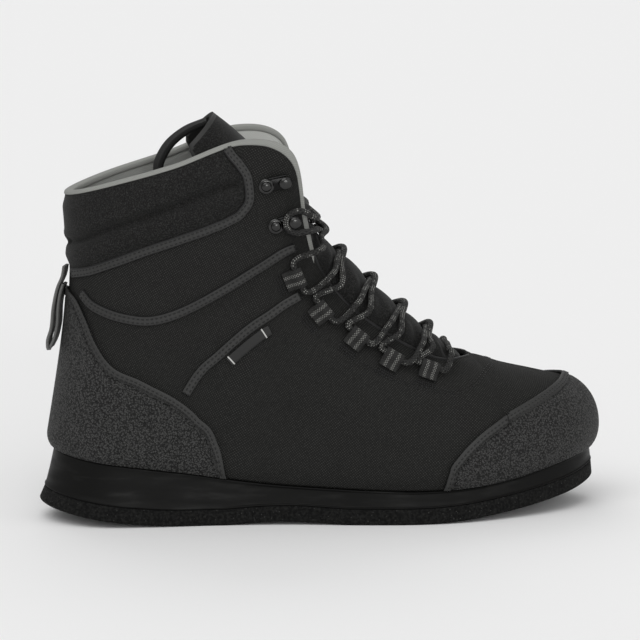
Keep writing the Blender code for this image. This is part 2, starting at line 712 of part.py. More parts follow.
def loop_place(number, far):
    """Where a lace loop is sewn on: X points across the lace, towards the loop's fold."""
    station, level, lean = list(LACE_LOOPS.values())[number - 1]
    u = other_side(station) if far else station
    forward = slope_along(u, level, "round") * (lean if far else -lean)
    return skin_place(u, level, slope_along(u, level, "up") + forward, LIFT)


def hook_place(number, far):
    """Where a hook is riveted on: X points from its tail to its curl."""
    station, level, toward_station, toward_level = list(HOOKS.values())[number - 1]
    tail, curl = station, toward_station
    if far:
        tail, curl = other_side(tail), other_side(curl)
    return skin_place(tail, level, skin(curl, toward_level) - skin(tail, level), LIFT)


def lace_loop_sections():
    """A webbing loop seen along the lace: a flat foot, and a fold that holds the lace."""
    inside = LACE_RADIUS + LACE_FIT
    high = LOOP_FOOT + inside * 2
    outline = np.array([(along * LOOP_LENGTH, up * (high + LOOP_STRAP))
                        for along, up in LOOP_OUTLINE])
    hollow = np.array([(LACE_SEAT * LOOP_LENGTH + inside * math.cos(angle),
                        LOOP_FOOT + inside + inside * math.sin(angle))
                       for angle in np.linspace(math.pi, -math.pi, len(outline), endpoint=False)])
    half = LOOP_WIDTH / 2
    sections = []
    for (ax, az), (bx, bz) in zip(outline, hollow):
        sections.append([(ax, -half, az), (ax, half, az), (bx, half, bz), (bx, -half, bz)])
    return sections


def build_lace_loops(body, webbing):
    mesh = None
    for side in ("lateral", "medial"):
        for number in range(1, len(LACE_LOOPS) + 1):
            name = f"lace_loop_{side}_{number}"
            if mesh is None:
                made = loft(name, lace_loop_sections(), webbing, body, ring=True)
                mesh = made.data
            else:
                made = place(name, mesh, webbing, body)
            made.matrix_world = loop_place(number, side == "medial")


def build_hooks(body, metal):
    path = np.array(HOOK_PROFILE) * HOOK_LENGTH
    path = smooth_line(path, HOOK_SECTIONS)
    point = np.stack([path[:, 0], np.zeros(len(path)), path[:, 1]], -1)
    run = np.gradient(point, axis=0)
    run /= np.linalg.norm(run, axis=-1, keepdims=True)
    across = np.tile((0.0, 1.0, 0.0), (len(path), 1))
    up = np.cross(run, across)
    far = path[:, 0] / HOOK_LENGTH
    width = HOOK_WIDTH - (HOOK_WIDTH - HOOK_NECK) * smooth((far - HOOK_SHOULDER) / HOOK_SHOULDER)
    tail = np.sqrt(np.clip(1 - ((HOOK_TAIL - far) / HOOK_TAIL) ** 2, 0.2, 1))
    width = np.where(far < HOOK_TAIL, width * tail, width)[:, None]
    corners = ((-1, 0), (1, 0), (1, 1), (-1, 1))
    sections = np.stack([point + across * (side * width / 2) + up * (high * HOOK_STRAP)
                         for side, high in corners], 1)
    dome = [[(radius * RIVET_RADIUS * math.cos(angle), radius * RIVET_RADIUS * math.sin(angle),
              high * RIVET_HEIGHT) for angle in np.linspace(0, math.tau, RIVET_SIDES, endpoint=False)]
            for radius, high in RIVET_PROFILE]
    meshes = {}
    for side in ("lateral", "medial"):
        for number in range(1, len(HOOKS) + 1):
            spot = hook_place(number, side == "medial")
            above = Matrix.Translation((RIVET_SEAT * HOOK_LENGTH, 0, HOOK_STRAP + GAP))
            for kind, shape, matrix in (("hook", sections, spot), ("rivet", dome, spot @ above)):
                name = f"lace_{kind}_{side}_{number}"
                if kind in meshes:
                    made = place(name, meshes[kind], metal, body)
                else:
                    made = loft(name, shape, metal, body)
                    meshes[kind] = made.data
                made.matrix_world = matrix


def loop_seat(number, end, far):
    """A point on the line through a lace loop: end counts half widths towards the collar."""
    way = -1 if far else 1
    seat = Vector((LACE_SEAT * LOOP_LENGTH, way * end * LOOP_WIDTH / 2,
                   LOOP_FOOT + LACE_FIT + LACE_RADIUS))
    return np.array(loop_place(number, far) @ seat)


def over_lip(u, far):
    """A point above the throat's edge at a station."""
    edge = skin(np.array([other_side(u) if far else u]), np.array([LIP_LEVEL]), LACE_OVER_EDGE)[0]
    return edge + np.array((LIP_AHEAD, 0, 0))


def hook_turn(number, far):
    """The lace's points round a hook, from its lower side to its upper one."""
    frame = hook_place(number, far)
    way = -1 if far else 1
    high = HOOK_STRAP + GAP + LACE_FIT + LACE_RADIUS
    return [np.array(frame @ Vector((along * HOOK_LENGTH, way * side * HOOK_LENGTH, high * up)))
            for along, side, up in HOOK_TURN]


def over_tongue(s, t, high=1.0):
    return tongue_point(np.array([s]), np.array([t]), np.array([LACE_OVER * high]))[0]


def over_shoulder(ridge, u, far):
    """A point above the tongue, between its ridge and the throat's edge at a station."""
    at = np.interp(u, [row[0] for row in TONGUE.values()], range(len(TONGUE)))
    return over_tongue((ridge + at) / 2, LACE_SHOULDER if far else -LACE_SHOULDER, SHOULDER_RISE)


def lace_strand(far):
    """One half of the lace, from the middle of its lowest bar to its end."""
    passes = list(LACE_PASSES.values())
    ridge, start, _ = passes[0]
    points = [over_tongue(ridge, 0.0), over_shoulder(ridge, start, far), over_lip(start, far)]
    for number, (ridge, below, above) in zip(range(len(LACE_LOOPS), 0, -1), passes[1:]):
        points += [loop_seat(number, -LACE_REACH, far), loop_seat(number, LACE_REACH, far),
                   over_lip(below, far), over_shoulder(ridge, below, far),
                   over_tongue(ridge, 0.0, 1.0 if far else CROSS_RISE),
                   over_shoulder(ridge, above, not far), over_lip(above, not far)]
        far = not far
    points += hook_turn(2, far)
    ridge, end, _ = passes[-1]
    points += [over_lip(end, far), over_shoulder(ridge, end, far),
               over_tongue(ridge, 0.0, CROSS_RISE), over_shoulder(ridge, end, not far)]
    return rounded_line(points, LACE_BEND)


def tube(name, path, radius, sides, material, body):
    ways = np.diff(path, axis=0)
    ways /= np.linalg.norm(ways, axis=-1, keepdims=True)
    run = np.concatenate([ways[:1], ways[1:] + ways[:-1], ways[-1:]])
    run /= np.linalg.norm(run, axis=-1, keepdims=True)
    across = np.cross(run, (0.0, 0.0, 1.0))
    sections = []
    last = across[0] / np.linalg.norm(across[0])
    for spot, way in zip(path, run):
        last = last - way * float(last @ way)
        last /= np.linalg.norm(last)
        other = np.cross(way, last)
        angles = np.linspace(0, math.tau, sides, endpoint=False)[:, None]
        sections.append(spot + radius * (np.cos(angles) * last + np.sin(angles) * other))
    return loft(name, sections, material, body)


def build_lace(body, cord):
    near = tube("lace", lace_strand(False), LACE_RADIUS, LACE_SIDES, cord, body)
    far = tube("lace_other_half", lace_strand(True), LACE_RADIUS, LACE_SIDES, cord, body)
    far.hide_render = True
    far.display_type = "WIRE"
    joined = near.modifiers.new("other half", "BOOLEAN")
    joined.operation = "UNION"
    joined.solver = "EXACT"
    joined.object = far


def build_boot():
    clear_scene()
    body = bpy.data.objects.new("wading_boot", None)
    bpy.context.collection.objects.link(body)
    felt = paint("speckled felt", (0.020, 0.020, 0.019), 0.95)
    rubber = paint("smooth black rubber", (0.010, 0.010, 0.0095), 0.55)
    foam = paint("footbed foam", (0.045, 0.045, 0.047), 0.85)
    cloth = paint("coated dark cloth", (0.019, 0.019, 0.018), 0.75)
    grit = paint("gritty rubber overlay", (0.034, 0.034, 0.033), 0.85)
    fold = paint("folded cloth binding", (0.026, 0.026, 0.025), 0.7)
    webbing = paint("dark webbing", (0.05, 0.05, 0.049), 0.8)
    cord = paint("braided cord", (0.06, 0.06, 0.058), 0.8)
    metal = paint("black gloss metal", (0.02, 0.02, 0.02), 0.25, 0.8)
    bare = paint("bare black label", (0.008, 0.008, 0.008), 0.6)
    build_sole(body, felt, rubber, foam)
    build_upper(body, cloth)
    skin_patch("toe_cap", CAP_EDGE, grit, body)
    skin_patch("heel_counter", COUNTER_EDGE, grit, body)
    build_tongue(body, cloth, webbing)
    levels = np.array(HEEL_LOOP)
    back = skin(np.full(len(levels), LAST), levels[:, 0], HEEL_LOOP_REACH * levels[:, 1])
    strap("heel_pull_loop", back[:, ::2], HEEL_LOOP_WIDTH, STRAP_THICKNESS, webbing, body)
    for name, line in (("collar_band", COLLAR_BAND), ("ankle_band", ANKLE_BAND),
                       ("quarter_band", QUARTER_BAND)):
        for side, far in (("lateral", False), ("medial", True)):
            skin_band(f"{name}_{side}", line, BAND_WIDTH, OVERLAY, BAND_LIFT, fold, body, far)
    skin_band("side_label", LABEL_LINE, LABEL_WIDTH, LABEL_THICKNESS, BAND_LIFT, bare, body)
    build_lace_loops(body, webbing)
    build_hooks(body, metal)
    build_lace(body, cord)


build_boot()
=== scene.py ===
"""Wading boot: the finish, seams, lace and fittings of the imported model.

Metres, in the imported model's frame: X from heel to toe, Y towards the inner side, Z up.
"""

import json
import math

import bmesh
import bpy
import numpy as np
from mathutils import Matrix, Vector

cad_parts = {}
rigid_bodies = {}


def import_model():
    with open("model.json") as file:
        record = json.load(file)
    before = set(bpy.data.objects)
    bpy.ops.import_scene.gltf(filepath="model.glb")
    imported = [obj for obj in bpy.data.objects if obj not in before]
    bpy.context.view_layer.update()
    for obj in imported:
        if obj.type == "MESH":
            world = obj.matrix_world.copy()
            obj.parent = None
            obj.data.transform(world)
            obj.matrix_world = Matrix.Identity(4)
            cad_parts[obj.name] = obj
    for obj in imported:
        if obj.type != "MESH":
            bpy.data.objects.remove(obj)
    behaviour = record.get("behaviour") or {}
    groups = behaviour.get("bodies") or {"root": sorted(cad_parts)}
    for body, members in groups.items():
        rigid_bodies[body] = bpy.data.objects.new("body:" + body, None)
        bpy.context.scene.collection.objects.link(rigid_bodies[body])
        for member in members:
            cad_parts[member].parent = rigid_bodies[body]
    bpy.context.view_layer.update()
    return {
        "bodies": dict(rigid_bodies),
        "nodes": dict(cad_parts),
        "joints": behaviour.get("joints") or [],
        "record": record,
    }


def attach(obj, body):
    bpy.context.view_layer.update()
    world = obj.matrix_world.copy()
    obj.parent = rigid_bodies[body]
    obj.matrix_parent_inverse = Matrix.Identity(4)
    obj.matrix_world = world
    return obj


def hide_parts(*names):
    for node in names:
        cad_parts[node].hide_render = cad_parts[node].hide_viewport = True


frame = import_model()

MM = 0.001
SIDES = (("lateral", False), ("medial", True))

# Lengths and heights of the whole boot
BOOT_LENGTH = 0.320
BALL_WIDTH = 0.108
TOE_HEIGHT = 0.0755
COLLAR_HEIGHT = 0.218
COLLAR_WIDTH = 0.086
THROAT_WIDTH = 0.058

# Sole
FELT_THICKNESS = 0.009
FOREFOOT_SEAT = 0.0185
HEEL_SEAT = 0.0410
HEEL_RISE = 0.0100
TOE_RISE = 0.0145
ARCH_RISE = 0.0018
SOLE_FLARE = 0.0080
SOLE_MARGIN = 0.0010
FELT_EDGE = 0.0015
HEEL_FLAT_START, HEEL_FLAT_END = 0.250, 0.325
FORE_FLAT_START, FORE_FLAT_END = 0.538, 0.675
HEEL_REST = (HEEL_FLAT_START + HEEL_FLAT_END) / 2

# Walls
WALL = 0.0024
COLLAR_WALL = 0.0060
BULGE_OUT = 0.0050
BULGE_UP = 0.0140
PAD_PUFF = 0.0014
GAP = 0.0003
OVERLAY = 0.0013

# Sizes of the sole's side
FELT_SHARE = 0.35
MIDSOLE_STEP = 0.0006
MIDSOLE_ROUND = 0.0008
MIDSOLE_SEAM = 0.0001
# How the midsole flares: at its foot, and what a full rise takes off, straight and curved
MIDSOLE_FLARE = (0.65, -0.75, 0.10)
# The midsole's rounded foot and top: height from the seam or down from the seat, and how far out
MIDSOLE_FOOT = ((0.0, -MIDSOLE_STEP), (0.5 * MM, 0.2 * MM), (1.3 * MM, 0.1 * MM))
MIDSOLE_TOP = ((0.9 * MM, 0.3 * MM), (0.3 * MM, 0.1 * MM), (0.0, -MIDSOLE_ROUND))

# Overlays, bands and straps
LIFT = 0.0006
BAND_WIDTH = 0.0055
LABEL_WIDTH = 0.0060
LABEL_THICKNESS = 0.0008
STRAP_THICKNESS = 0.0015
HEEL_LOOP_WIDTH = 0.0150
HEEL_LOOP_REACH = 0.0085
TONGUE_LOOP_WIDTH = 0.0120

# Padding
CHANNEL_LEVEL = 0.125
CHANNEL_SPREAD = 0.024
PAD_START = 0.020
PAD_EDGE_LEVEL = 0.060
PAD_EDGE_STATIONS = 0.35
PAD_FLOOR = 0.135
COLLAR_FRONT = 0.46
PAD_FADE = 0.10

# Tongue
TONGUE_THICKNESS = 0.0046
TONGUE_DEPTH = 0.010
FLAP_START = 0.80

# Lace, loops and hooks
LACE_RADIUS = 0.00175
LACE_FIT = 0.0006
LACE_OVER = 0.0030
LACE_OVER_EDGE = 0.0057
SHOULDER_RISE = 1.25
LOOP_WIDTH = 0.0110
LOOP_LENGTH = 0.0120
LOOP_FOOT = 0.0010
LOOP_STRAP = 0.0010
LACE_SEAT = 0.18
LACE_SHOULDER = 0.45
LIP_LEVEL = 0.985
LIP_AHEAD = 0.0015
HOOK_LENGTH = 0.0190
HOOK_WIDTH = 0.0070
HOOK_STRAP = 0.0009
RIVET_RADIUS = 0.0031
RIVET_SEAT = 0.18

# The lace's turn round a hook: along, aside, and a factor on its height
HOOK_TURN = ((.90, -.32, 1.15), (.68, -.29, 1.0), (.53, -.18, 1.0), (.47, .00, 1.0), (.53, .18, 1.0),
             (.68, .29, 1.0), (.90, .33, 1.15))

# Seams on the upper. Each row is (station, level): stations count from the toe tip along
# STATIONS, and levels run from 0 at the sole to 1 at the top line.
COLLAR_BAND = ((14.45, .679), (14.1, .684), (13.6, .69), (12.95, .71), (12.3, .735), (11.85, .745),
               (11.4, .75), (11.1, .762), (10.9, .785), (10.80, .823), (10.86, .875), (11.02, .927),
               (11.17, .965))
PAD_FLOOR_LINE, PAD_FRONT_LINE = COLLAR_BAND[6::-1], COLLAR_BAND[6:]
ANKLE_BAND = ((13.9, .600), (13.6, .562), (13.15, .525), (12.7, .496), (12.25, .480), (11.8, .489),
              (11.4, .510), (10.98, .545), (10.53, .593), (10.0, .665), (9.6, .740), (9.25, .815))
QUARTER_BAND = ((11.33, .250), (11.17, .295), (10.75, .362), (10.28, .435), (9.7, .525), (9.2, .630),
                (8.8, .715))
COUNTER_EDGE = ((10.3, .012), (10.37, .08), (10.56, .14), (11.0, .19), (11.56, .24), (12.25, .29),
                (12.88, .34), (13.25, .41), (13.62, .50), (14.0, .57), (14.5, .605), (15.0, .615))
CAP_EDGE = ((5.50, .012), (5.40, .08), (5.19, .16), (4.81, .26), (4.12, .36), (3.31, .45),
            (2.50, .55), (1.75, .65), (1.0, .74), (.45, .79), (0.0, .81))

# One row for each section of the tongue, from its root under the vamp to its peak. station is
# where its edges hang; depth, lift and tuck are shares of TONGUE_DEPTH; along is a share of
# BOOT_LENGTH and high of COLLAR_HEIGHT, for the ridge; flap is the level that its hem goes down.
TONGUE = {
    "root":      (4.30, .40, .00, .7650, .3880, 0.6, .04),
    "low":       (5.15, .38, .00, .7170, .4420, 1.2, .07),
    "instep 1":  (5.90, .38, .00, .6720, .4985, 1.3, .08),
    "instep 2":  (6.60, .38, .00, .6180, .5670, 1.3, .08),
    "instep 3":  (7.25, .38, .00, .5660, .6430, 1.3, .08),
    "shin 1":    (8.00, .38, .00, .5260, .6960, 1.3, .08),
    "shin 2":    (8.60, .42, .00, .4940, .7600, 1.2, .08),
    "shin 3":    (9.30, .50, .00, .4640, .8330, 0.9, .08),
    "neck":      (10.1, .85, -1.0, .4280, .9080, 0.4, .06),
    "wing low":  (10.9, 1.05, -1.2, .3860, .9760, .00, .04),
    "wing high": (11.55, 1.35, -.60, .3550, 1.0200, .00, .03),
    "peak":      (11.80, 1.60, .75, .3234, 1.0578, .00, .02),
}
TONGUE_LOOP = ((.3124, 1.0344), (.275, 1.0120), (.2390, .9665), (.2240, .9147), (.232, .868),
               (.264, .870), (.306, .921), (.3566, .9810))
# (level up the heel's back line, share of HEEL_LOOP_REACH out from it)
HEEL_LOOP = ((.705, .26), (.665, .36), (.620, .62), (.535, .84), (.440, .86), (.385, .98),
             (.360, .86), (.385, .66), (.450, .48), (.540, .52), (.600, .42), (.628, .30))

# Five loops a side from the collar down, as (station, level, lean): lean is how far a loop
# leans towards the toe for each unit that it rises.
LACE_LOOPS = {
    "first":  (9.08, .735, .85),
    "second": (8.06, .760, .78),
    "third":  (7.06, .785, .70),
    "fourth": (6.31, .780, .60),
    "fifth":  (5.50, .800, .40),
}
# (station, level) of each hook's tail, and of the point it looks at
HOOKS = {
    "upper": (10.63, .860, 10.07, .902),
    "lower": (10.26, .748, 9.42, .878),
}
# Each pass of the lace over the throat, from the lowest bar to the end above the hooks, as
# (ridge, below, above): ridge counts rows of TONGUE, and below and above are the stations where
# the strands from the loops below and above it cross the throat's edge.
LACE_PASSES = {
    "bar":     (.70, 4.85, 4.85),
    "fifth":   (1.50, 5.38, 5.62),
    "fourth":  (2.42, 6.10, 6.34),
    "third":   (3.42, 6.74, 7.00),
    "second":  (4.58, 7.50, 7.80),
    "first":   (5.55, 8.42, 8.85),
    "end":     (6.05, 9.06, 9.06),
}

# One row for each station from the toe tip round either side to the heel. Lengths are shares:
# along, top_along of BOOT_LENGTH; lateral, medial, swing of BALL_WIDTH; seat of the rise from
# FOREFOOT_SEAT to HEEL_SEAT; flare of SOLE_FLARE; bulge of BULGE_OUT; rise of BULGE_UP; half of
# the throat's or the collar's half width; top of the rise from TOE_HEIGHT to COLLAR_HEIGHT.
# low_in, low_up, high_in and high_up place the handles of the side's curve between the
# widest line and the top line, and slope is that of the ridge.
COLUMNS = ("along", "lateral", "medial", "seat", "flare", "bulge", "rise", "top_along", "half",
           "top", "swing", "slope", "low_in", "low_up", "high_in", "high_up")
STATIONS = {
    "toe tip":       (.991, -.056, .056, .590, .18, 1.0, .92, .906, .40, .000, .046, -.08, .00, .56, .36, 1.0),
    "toe round":     (.977, .088, .190, .572, .20, 1.0, .92, .889, .42, .008, .042, -.12, .00, .56, .38, 1.0),
    "toe corner":    (.941, .236, .315, .500, .24, .95, .94, .859, .46, .026, .032, -.18, .00, .56, .40, 1.0),
    "toe side":      (.888, .343, .398, .340, .28, .85, .98, .819, .52, .052, .018, -.27, .00, .54, .42, 1.0),
    "vamp point":    (.825, .421, .458, .145, .32, .80, 1.0, .775, .60, .088, .006, -.34, .00, .52, .46, .97),
    "ball front":    (.750, .486, .491, .030, .34, .75, 1.0, .716, .76, .096, .000, -.10, .00, .50, .52, .80),
    "ball":          (.666, .505, .477, .000, .34, .75, 1.0, .638, .93, .186, .000, .00, .00, .42, .47, .70),
    "instep low":    (.584, .477, .421, .035, .36, .70, 1.0, .553, 1.0, .332, .000, .00, .00, .34, .42, .70),
    "instep":        (.506, .431, .370, .090, .42, .60, 1.0, .500, 1.07, .498, .000, .00, .00, .32, .36, .71),
    "instep high":   (.428, .389, .338, .160, .48, .55, 1.0, .478, 1.26, .698, .000, .00, .02, .34, .52, .72),
    "collar corner": (.353, .361, .329, .280, .52, .55, .96, .455, 1.43, .947, .000, .00, .10, .38, .80, .70),
    "collar front":  (.275, .347, .333, .460, .56, .58, .90, .369, 1.48, 1.000, .000, .00, .20, .40, .95, .68),
    "ankle":         (.191, .343, .338, .630, .66, .58, .84, .247, 1.36, .907, .000, .00, .30, .42, 1.05, .67),
    "heel side":     (.106, .310, .310, .790, .86, .56, .76, .141, 1.12, .840, .000, .00, .55, .44, 1.18, .66),
    "heel round":    (.050, .176, .176, .930, 1.05, .56, .68, .080, .640, .800, .000, .00, .85, .45, 1.30, .65),
    "heel back":     (.030, .000, .000, 1.00, 1.12, .56, .64, .058, .000, .786, .000, .00, .97, .45, 1.38, .65),
}
LAST = len(STATIONS) - 1
AROUND = 2 * LAST
VAMP_POINT = 4
WIDEST = 0.10
HEM_REACH = 0.65
HALF_BEYOND = 0.48
SPRING_CURVE, ARCH_CURVE = 1.6, 1.3
SKIN_STEP, SEAM_STEP = 4e-3, 2e-3
TINY = 1e-4
SOLE_ACROSS = 16
SOLE_CUTS = tuple(np.linspace(0, LAST, 221))

# Finish of the upper, in the boot's own sizes
PAD_MORE = 0.0010
BORDER_WIDTH = 0.0044
BORDER_FADE = 0.0005
BORDER_MARGIN = 0.0008
PATCH_ROWS, PATCH_CROWDING = 60, 1.35
BORDER_ROUND = 0.0007
GROOVE_WIDTH = 0.0006
BAND_FOLD = 0.0003
BAND_SEAT = 0.0001
BAND_SINK = 0.0003
BORDER_RAISE = 0.0006
BORDER_GROOVE = 0.0007
BORDER_STITCHES = (0.0021, 0.0038)
ROLL_START = 8.25
ROLL_LAPS = ((8.2, .0060), (9.6, .0060), (10.1, .0044), (10.6, .0024), (11.2, .0013), (16, .0011))
ROLL_OUTER = ((1.0, -.6), (.97, .3), (.85, .8), (.6, 1.0), (.3, 1.0), (.08, .9))
ROLL_INNER = ((.1, .9), (.5, .9), (.9, .6), (1.0, -.6))
ROLL_INSIDE = 0.003
ROLL_REACH, PIPING_REACH = 0.0006, 0.00045
ROLL_END_SHARPNESS = 80
ROLL_CREST, ROLL_FLATNESS, ROLL_FULLNESS = 1.5, 2.5, 0.6
ROLL_OVERHANG = 0.8
PIPING_ENDS = (4.04, ROLL_START)
PIPING_LAPS = ((4.7, .0015), (8.3, .0022))
HEEL_LOOP_TWIST = 10
TONGUE_LOOP_TWIST = -14
TONGUE_LOOP_FOLD = 0.0028
TONGUE_FOLD = 0.0010
TONGUE_DENT = 0.0004
PASS_HOLLOW = 0.22
SWELL_END, SWELL_FADE, SWELL_RISE = 7.4, 1.2, 0.5
WING_START, WING_FADE = 0.25, 0.2
TONGUE_EDGE_FADE = 0.3
TONGUE_BINDING = 0.0026
BOUND_FROM = 8.5
TONGUE_WALL = TONGUE_THICKNESS * 0.8
BAND_STITCHES = (-0.0013, 0.0009)
VAMP_STITCHES = (0.0, 0.0020)
BAND_STITCH_LIFT, VAMP_STITCH_LIFT, TACK_LIFT = 0.00015, 0.00005, 0.0001
TAG_LIFT = 0.0004
STITCH_PITCH = 0.0026
STITCH_LENGTH = 0.0018
STITCH_WIDTH = 0.0008
TONGUE_SWELL = 0.0018
LABEL_LENGTH = 0.0284
LABEL_MARKS = (0.0015, LABEL_LENGTH - 0.0025)
LABEL_MARK_FADE = (0.00045, 0.0003)
# The collar's strip runs on under the rolled edge
BAND_LINES = {
    "collar_band": COLLAR_BAND + ((11.25, 0.992),),
    "ankle_band": ANKLE_BAND,
    "quarter_band": QUARTER_BAND,
}
TAG_LINE = ((10.50, .346), (10.05, .416), (9.60, .490))
VAMP_SEAM = ((8.35, .650), (7.55, .655), (6.85, .650), (6.2, .650), (5.6, .640), (4.9, .635), (4.35, .680),
             (3.8, .785), (3.35, .90))

# Creases: a line of (station, level), with its depth and half width. A soft lip rises beside each.
CREASE_LIP, CREASE_LIP_AT = 0.45, 1.6
CREASES = {
    "between the pads":       (((14.7, .815), (13.9, .822), (13.1, .843), (12.2, .861), (11.6, .869),
                                (11.1, .872)), 0.0020, 0.0024),
    "flex across the vamp":   (((4.7, .90), (4.9, .70), (5.3, .50)), 0.0007, 0.005),
    "second flex":            (((5.6, .70), (5.9, .55), (6.2, .42)), 0.0005, 0.006),
    "instep":                 (((8.6, .62), (8.9, .50), (9.4, .40)), 0.0006, 0.007),
    "ankle bend":             (((9.9, .62), (10.6, .52), (11.4, .46)), 0.0007, 0.007),
    "behind the ankle":       (((12.6, .62), (13.2, .60), (13.8, .64)), 0.0005, 0.006),
    "collar front":           (((10.7, .70), (10.4, .78), (10.3, .88)), 0.0005, 0.006),
}

# Lace, loops and hooks
LACE_RINGS = 900
SEAT_REACH = 1.35
LOW_PASS, HIGH_PASS = 0.62, 1.80
# A loop's folded strip from the side, in millimetres along and up from where it is sewn on
LOOP_FOLD = ((-5.6, .8), (-4.2, 1.0), (-2.3, 1.8), (-0.6, 3.9), (1.4, 5.6), (3.7, 5.3), (4.9, 3.7),
             (4.6, 1.9), (3.0, .95), (0.6, .70), (-5.2, .60))
TACK_ROWS = (-0.0068, -0.0082, -0.0096)
TACKS_IN_ROW = 10
# A hook's turned pieces, each point a share of their radius and height
RIVET_DOME = ((1.12, 0.0), (1.15, .16), (1.06, .30), (.80, .36), (.76, .62), (.55, .90), (.28, 1.0),
              (0.0, 1.03))
POST_SHAPE = ((.62, 0.0), (.56, .40), (.60, .62), (.98, .74), (1.10, .84), (1.0, .96), (.50, 1.04),
              (0.0, 1.06))
DOME_RADIUS = RIVET_RADIUS * 1.2
DOME_HEIGHT = 0.0024
POST_SEAT = 0.74
POST_HEIGHT = 0.0042
PLATE_MIDDLE, PLATE_HALF_LENGTH = 0.47, 0.51
PLATE_HALF_WIDTH = HOOK_WIDTH * 0.62
PLATE_WAIST = 0.26
PLATE_ROUND = 0.00025
ROD_RADIUS = 0.0008
ROD_LENGTH = HOOK_LENGTH * 0.52
ROD_MIDDLE, ROD_ASIDE, ROD_ABOVE = HOOK_LENGTH * 0.55, HOOK_WIDTH * 0.56, 0.0005

# Plain materials: roughness, shine, size and detail of the grain, its dark and pale tones, and its
# depth and strength. Binding is folded cloth, the steel and nickel are the hooks', and the foam has
# cloth over it. The sealed cut edge is near black: the throat piping and the overlays' cut edges,
# and painted shadow along the bands' edges.
PLAIN_MATERIALS = {
    "folded coated binding":    (0.55, 0.35, 0.0009, 3, "222221", "2f2f2e", 0.00012, 0.6),
    "sealed cut edge and painted edge shadow":          (0.55, 0.35, 0.0009, 3, "0c0c0c", "141414", 0.00012, 0.6),
    "black enamelled steel":    (0.20, 0.15, 0.0015, 2, "020202", "070707", 0.00003, 0.5),
    "black nickel plate":       (0.20, 0.15, 0.0015, 2, "383838", "434342", 0.00003, 0.5),
    "bonded nylon thread":      (0.50, 0.40, 0.0008, 1, "070707", "121212", 0.0, 0.0),
    "cloth-faced footbed foam": (0.92, 0.20, 0.0012, 3, "333335", "4b4b4e", 0.00030, 0.6),
}

# Camera, floor and lights
CAMERA_AZIMUTH, CAMERA_ELEVATION, CAMERA_ROLL = -4.0, 9.0, -0.9
CAMERA_TARGET = (0.0705, 0.0, 0.1095)
CAMERA_DISTANCE = 2.2
CAMERA_LENS = 215.8
WORLD_STRENGTH = 0.53
FLOOR_TONE = "f2f2f2"
LIGHTS = {
    "glint": ((0.25, -1.6, 0.35), 20, 0.60),
    "key":  ((-0.6, -1.2, 1.9), 50, 1.0),
    "fill": ((1.6, -1.3, 0.9), 60, 0.35),
    "back": ((-0.2, 1.6, 1.3), 40, 0.45),
}


def loop_of(column):
    """A column's values round the whole boot: toe tip, lateral side, heel, medial side."""
    place = COLUMNS.index(column)
    rows = [row[place] for row in STATIONS.values()]
    return np.array(rows + rows[-2:0:-1], float)


def signed_loop(lateral, medial):
    rows = [-row[COLUMNS.index(lateral)] for row in STATIONS.values()]
    other = [row[COLUMNS.index(medial)] for row in STATIONS.values()]
    return np.array(rows + other[-2:0:-1], float)


LOOPS = {name: loop_of(name) for name in COLUMNS}
LOOPS["side"] = signed_loop("lateral", "medial")
LOOPS["half"] = signed_loop("half", "half")


def blend(a, b, c, d, t):
    """A smooth curve's value from b, at t 0, to c, at t 1, where a comes before them and d after."""
    return 0.5 * (2 * b + (c - a) * t + (2 * a - 5 * b + 4 * c - d) * t**2
                  + (3 * b - a - 3 * c + d) * t**3)


def bezier(a, b, c, d, t):
    """A point on the curve from a to d with the handles b and c."""
    return (1 - t) ** 3 * a + 3 * t * (1 - t) ** 2 * b + 3 * t**2 * (1 - t) * c + t**3 * d


def unit(ways):
    return ways / np.linalg.norm(ways, axis=-1, keepdims=True)


def matrix_of(*columns):
    """A matrix from its X, Y and Z directions and its place."""
    made = Matrix.Identity(4)
    for number, axis in enumerate(columns):
        made.col[number][:3] = axis
    return made


def spline(values, u):
    """A smooth closed curve through values, read at u, which counts stations."""
    start = np.floor(u).astype(int)
    return blend(*(values[(start + step) % AROUND] for step in (-1, 0, 1, 2)), u - start)


def row_of(u):
    """How far station u lies from the toe tip, 0 to LAST, on either side."""
    u = np.mod(u, AROUND)
    return np.minimum(u, AROUND - u)


def smooth(x):
    x = np.clip(x, 0, 1)
    return x * x * (3 - 2 * x)


def feather(u, out=0.0):
    """Plan point on the line where the upper meets the sole, moved outwards by out."""
    u = np.asarray(u, float)
    along, side = (
        lambda w: BOOT_LENGTH * (spline(LOOPS["along"], w) - HEEL_REST),
        lambda w: BALL_WIDTH * spline(LOOPS["side"], w),
    )
    dx = along(u + TINY) - along(u - TINY)
    dy = side(u + TINY) - side(u - TINY)
    size = np.hypot(dx, dy)
    normal = np.stack([-dy / size, dx / size], -1)
    point = np.stack([along(u), side(u)], -1)
    return point + normal * np.asarray(out)[..., None], normal


def seat_height(u):
    """Height of the sole's top edge, where the upper stands."""
    return FOREFOOT_SEAT + (HEEL_SEAT - FOREFOOT_SEAT) * spline(LOOPS["seat"], u)


def tread_height(x):
    """Height of the sole's underside: a flat heel and forefoot, raised at arch, heel and toe."""
    share = x / BOOT_LENGTH + HEEL_REST
    heel = np.clip((HEEL_FLAT_START - share) / HEEL_FLAT_START, 0, None) ** SPRING_CURVE
    toe = np.clip((share - FORE_FLAT_END) / (1 - FORE_FLAT_END), 0, None) ** SPRING_CURVE
    arch = np.clip((share - HEEL_FLAT_END) / (FORE_FLAT_START - HEEL_FLAT_END), 0, 1)
    return HEEL_RISE * heel + TOE_RISE * toe + ARCH_RISE * np.sin(math.pi * arch) ** ARCH_CURVE


def throat_opening(u):
    """0 where the two sides meet on the ridge, rising in a round end to 1 along the throat."""
    t = np.clip(row_of(u) - VAMP_POINT, 0, 1)
    return np.sqrt(1 - (1 - t) ** 2)


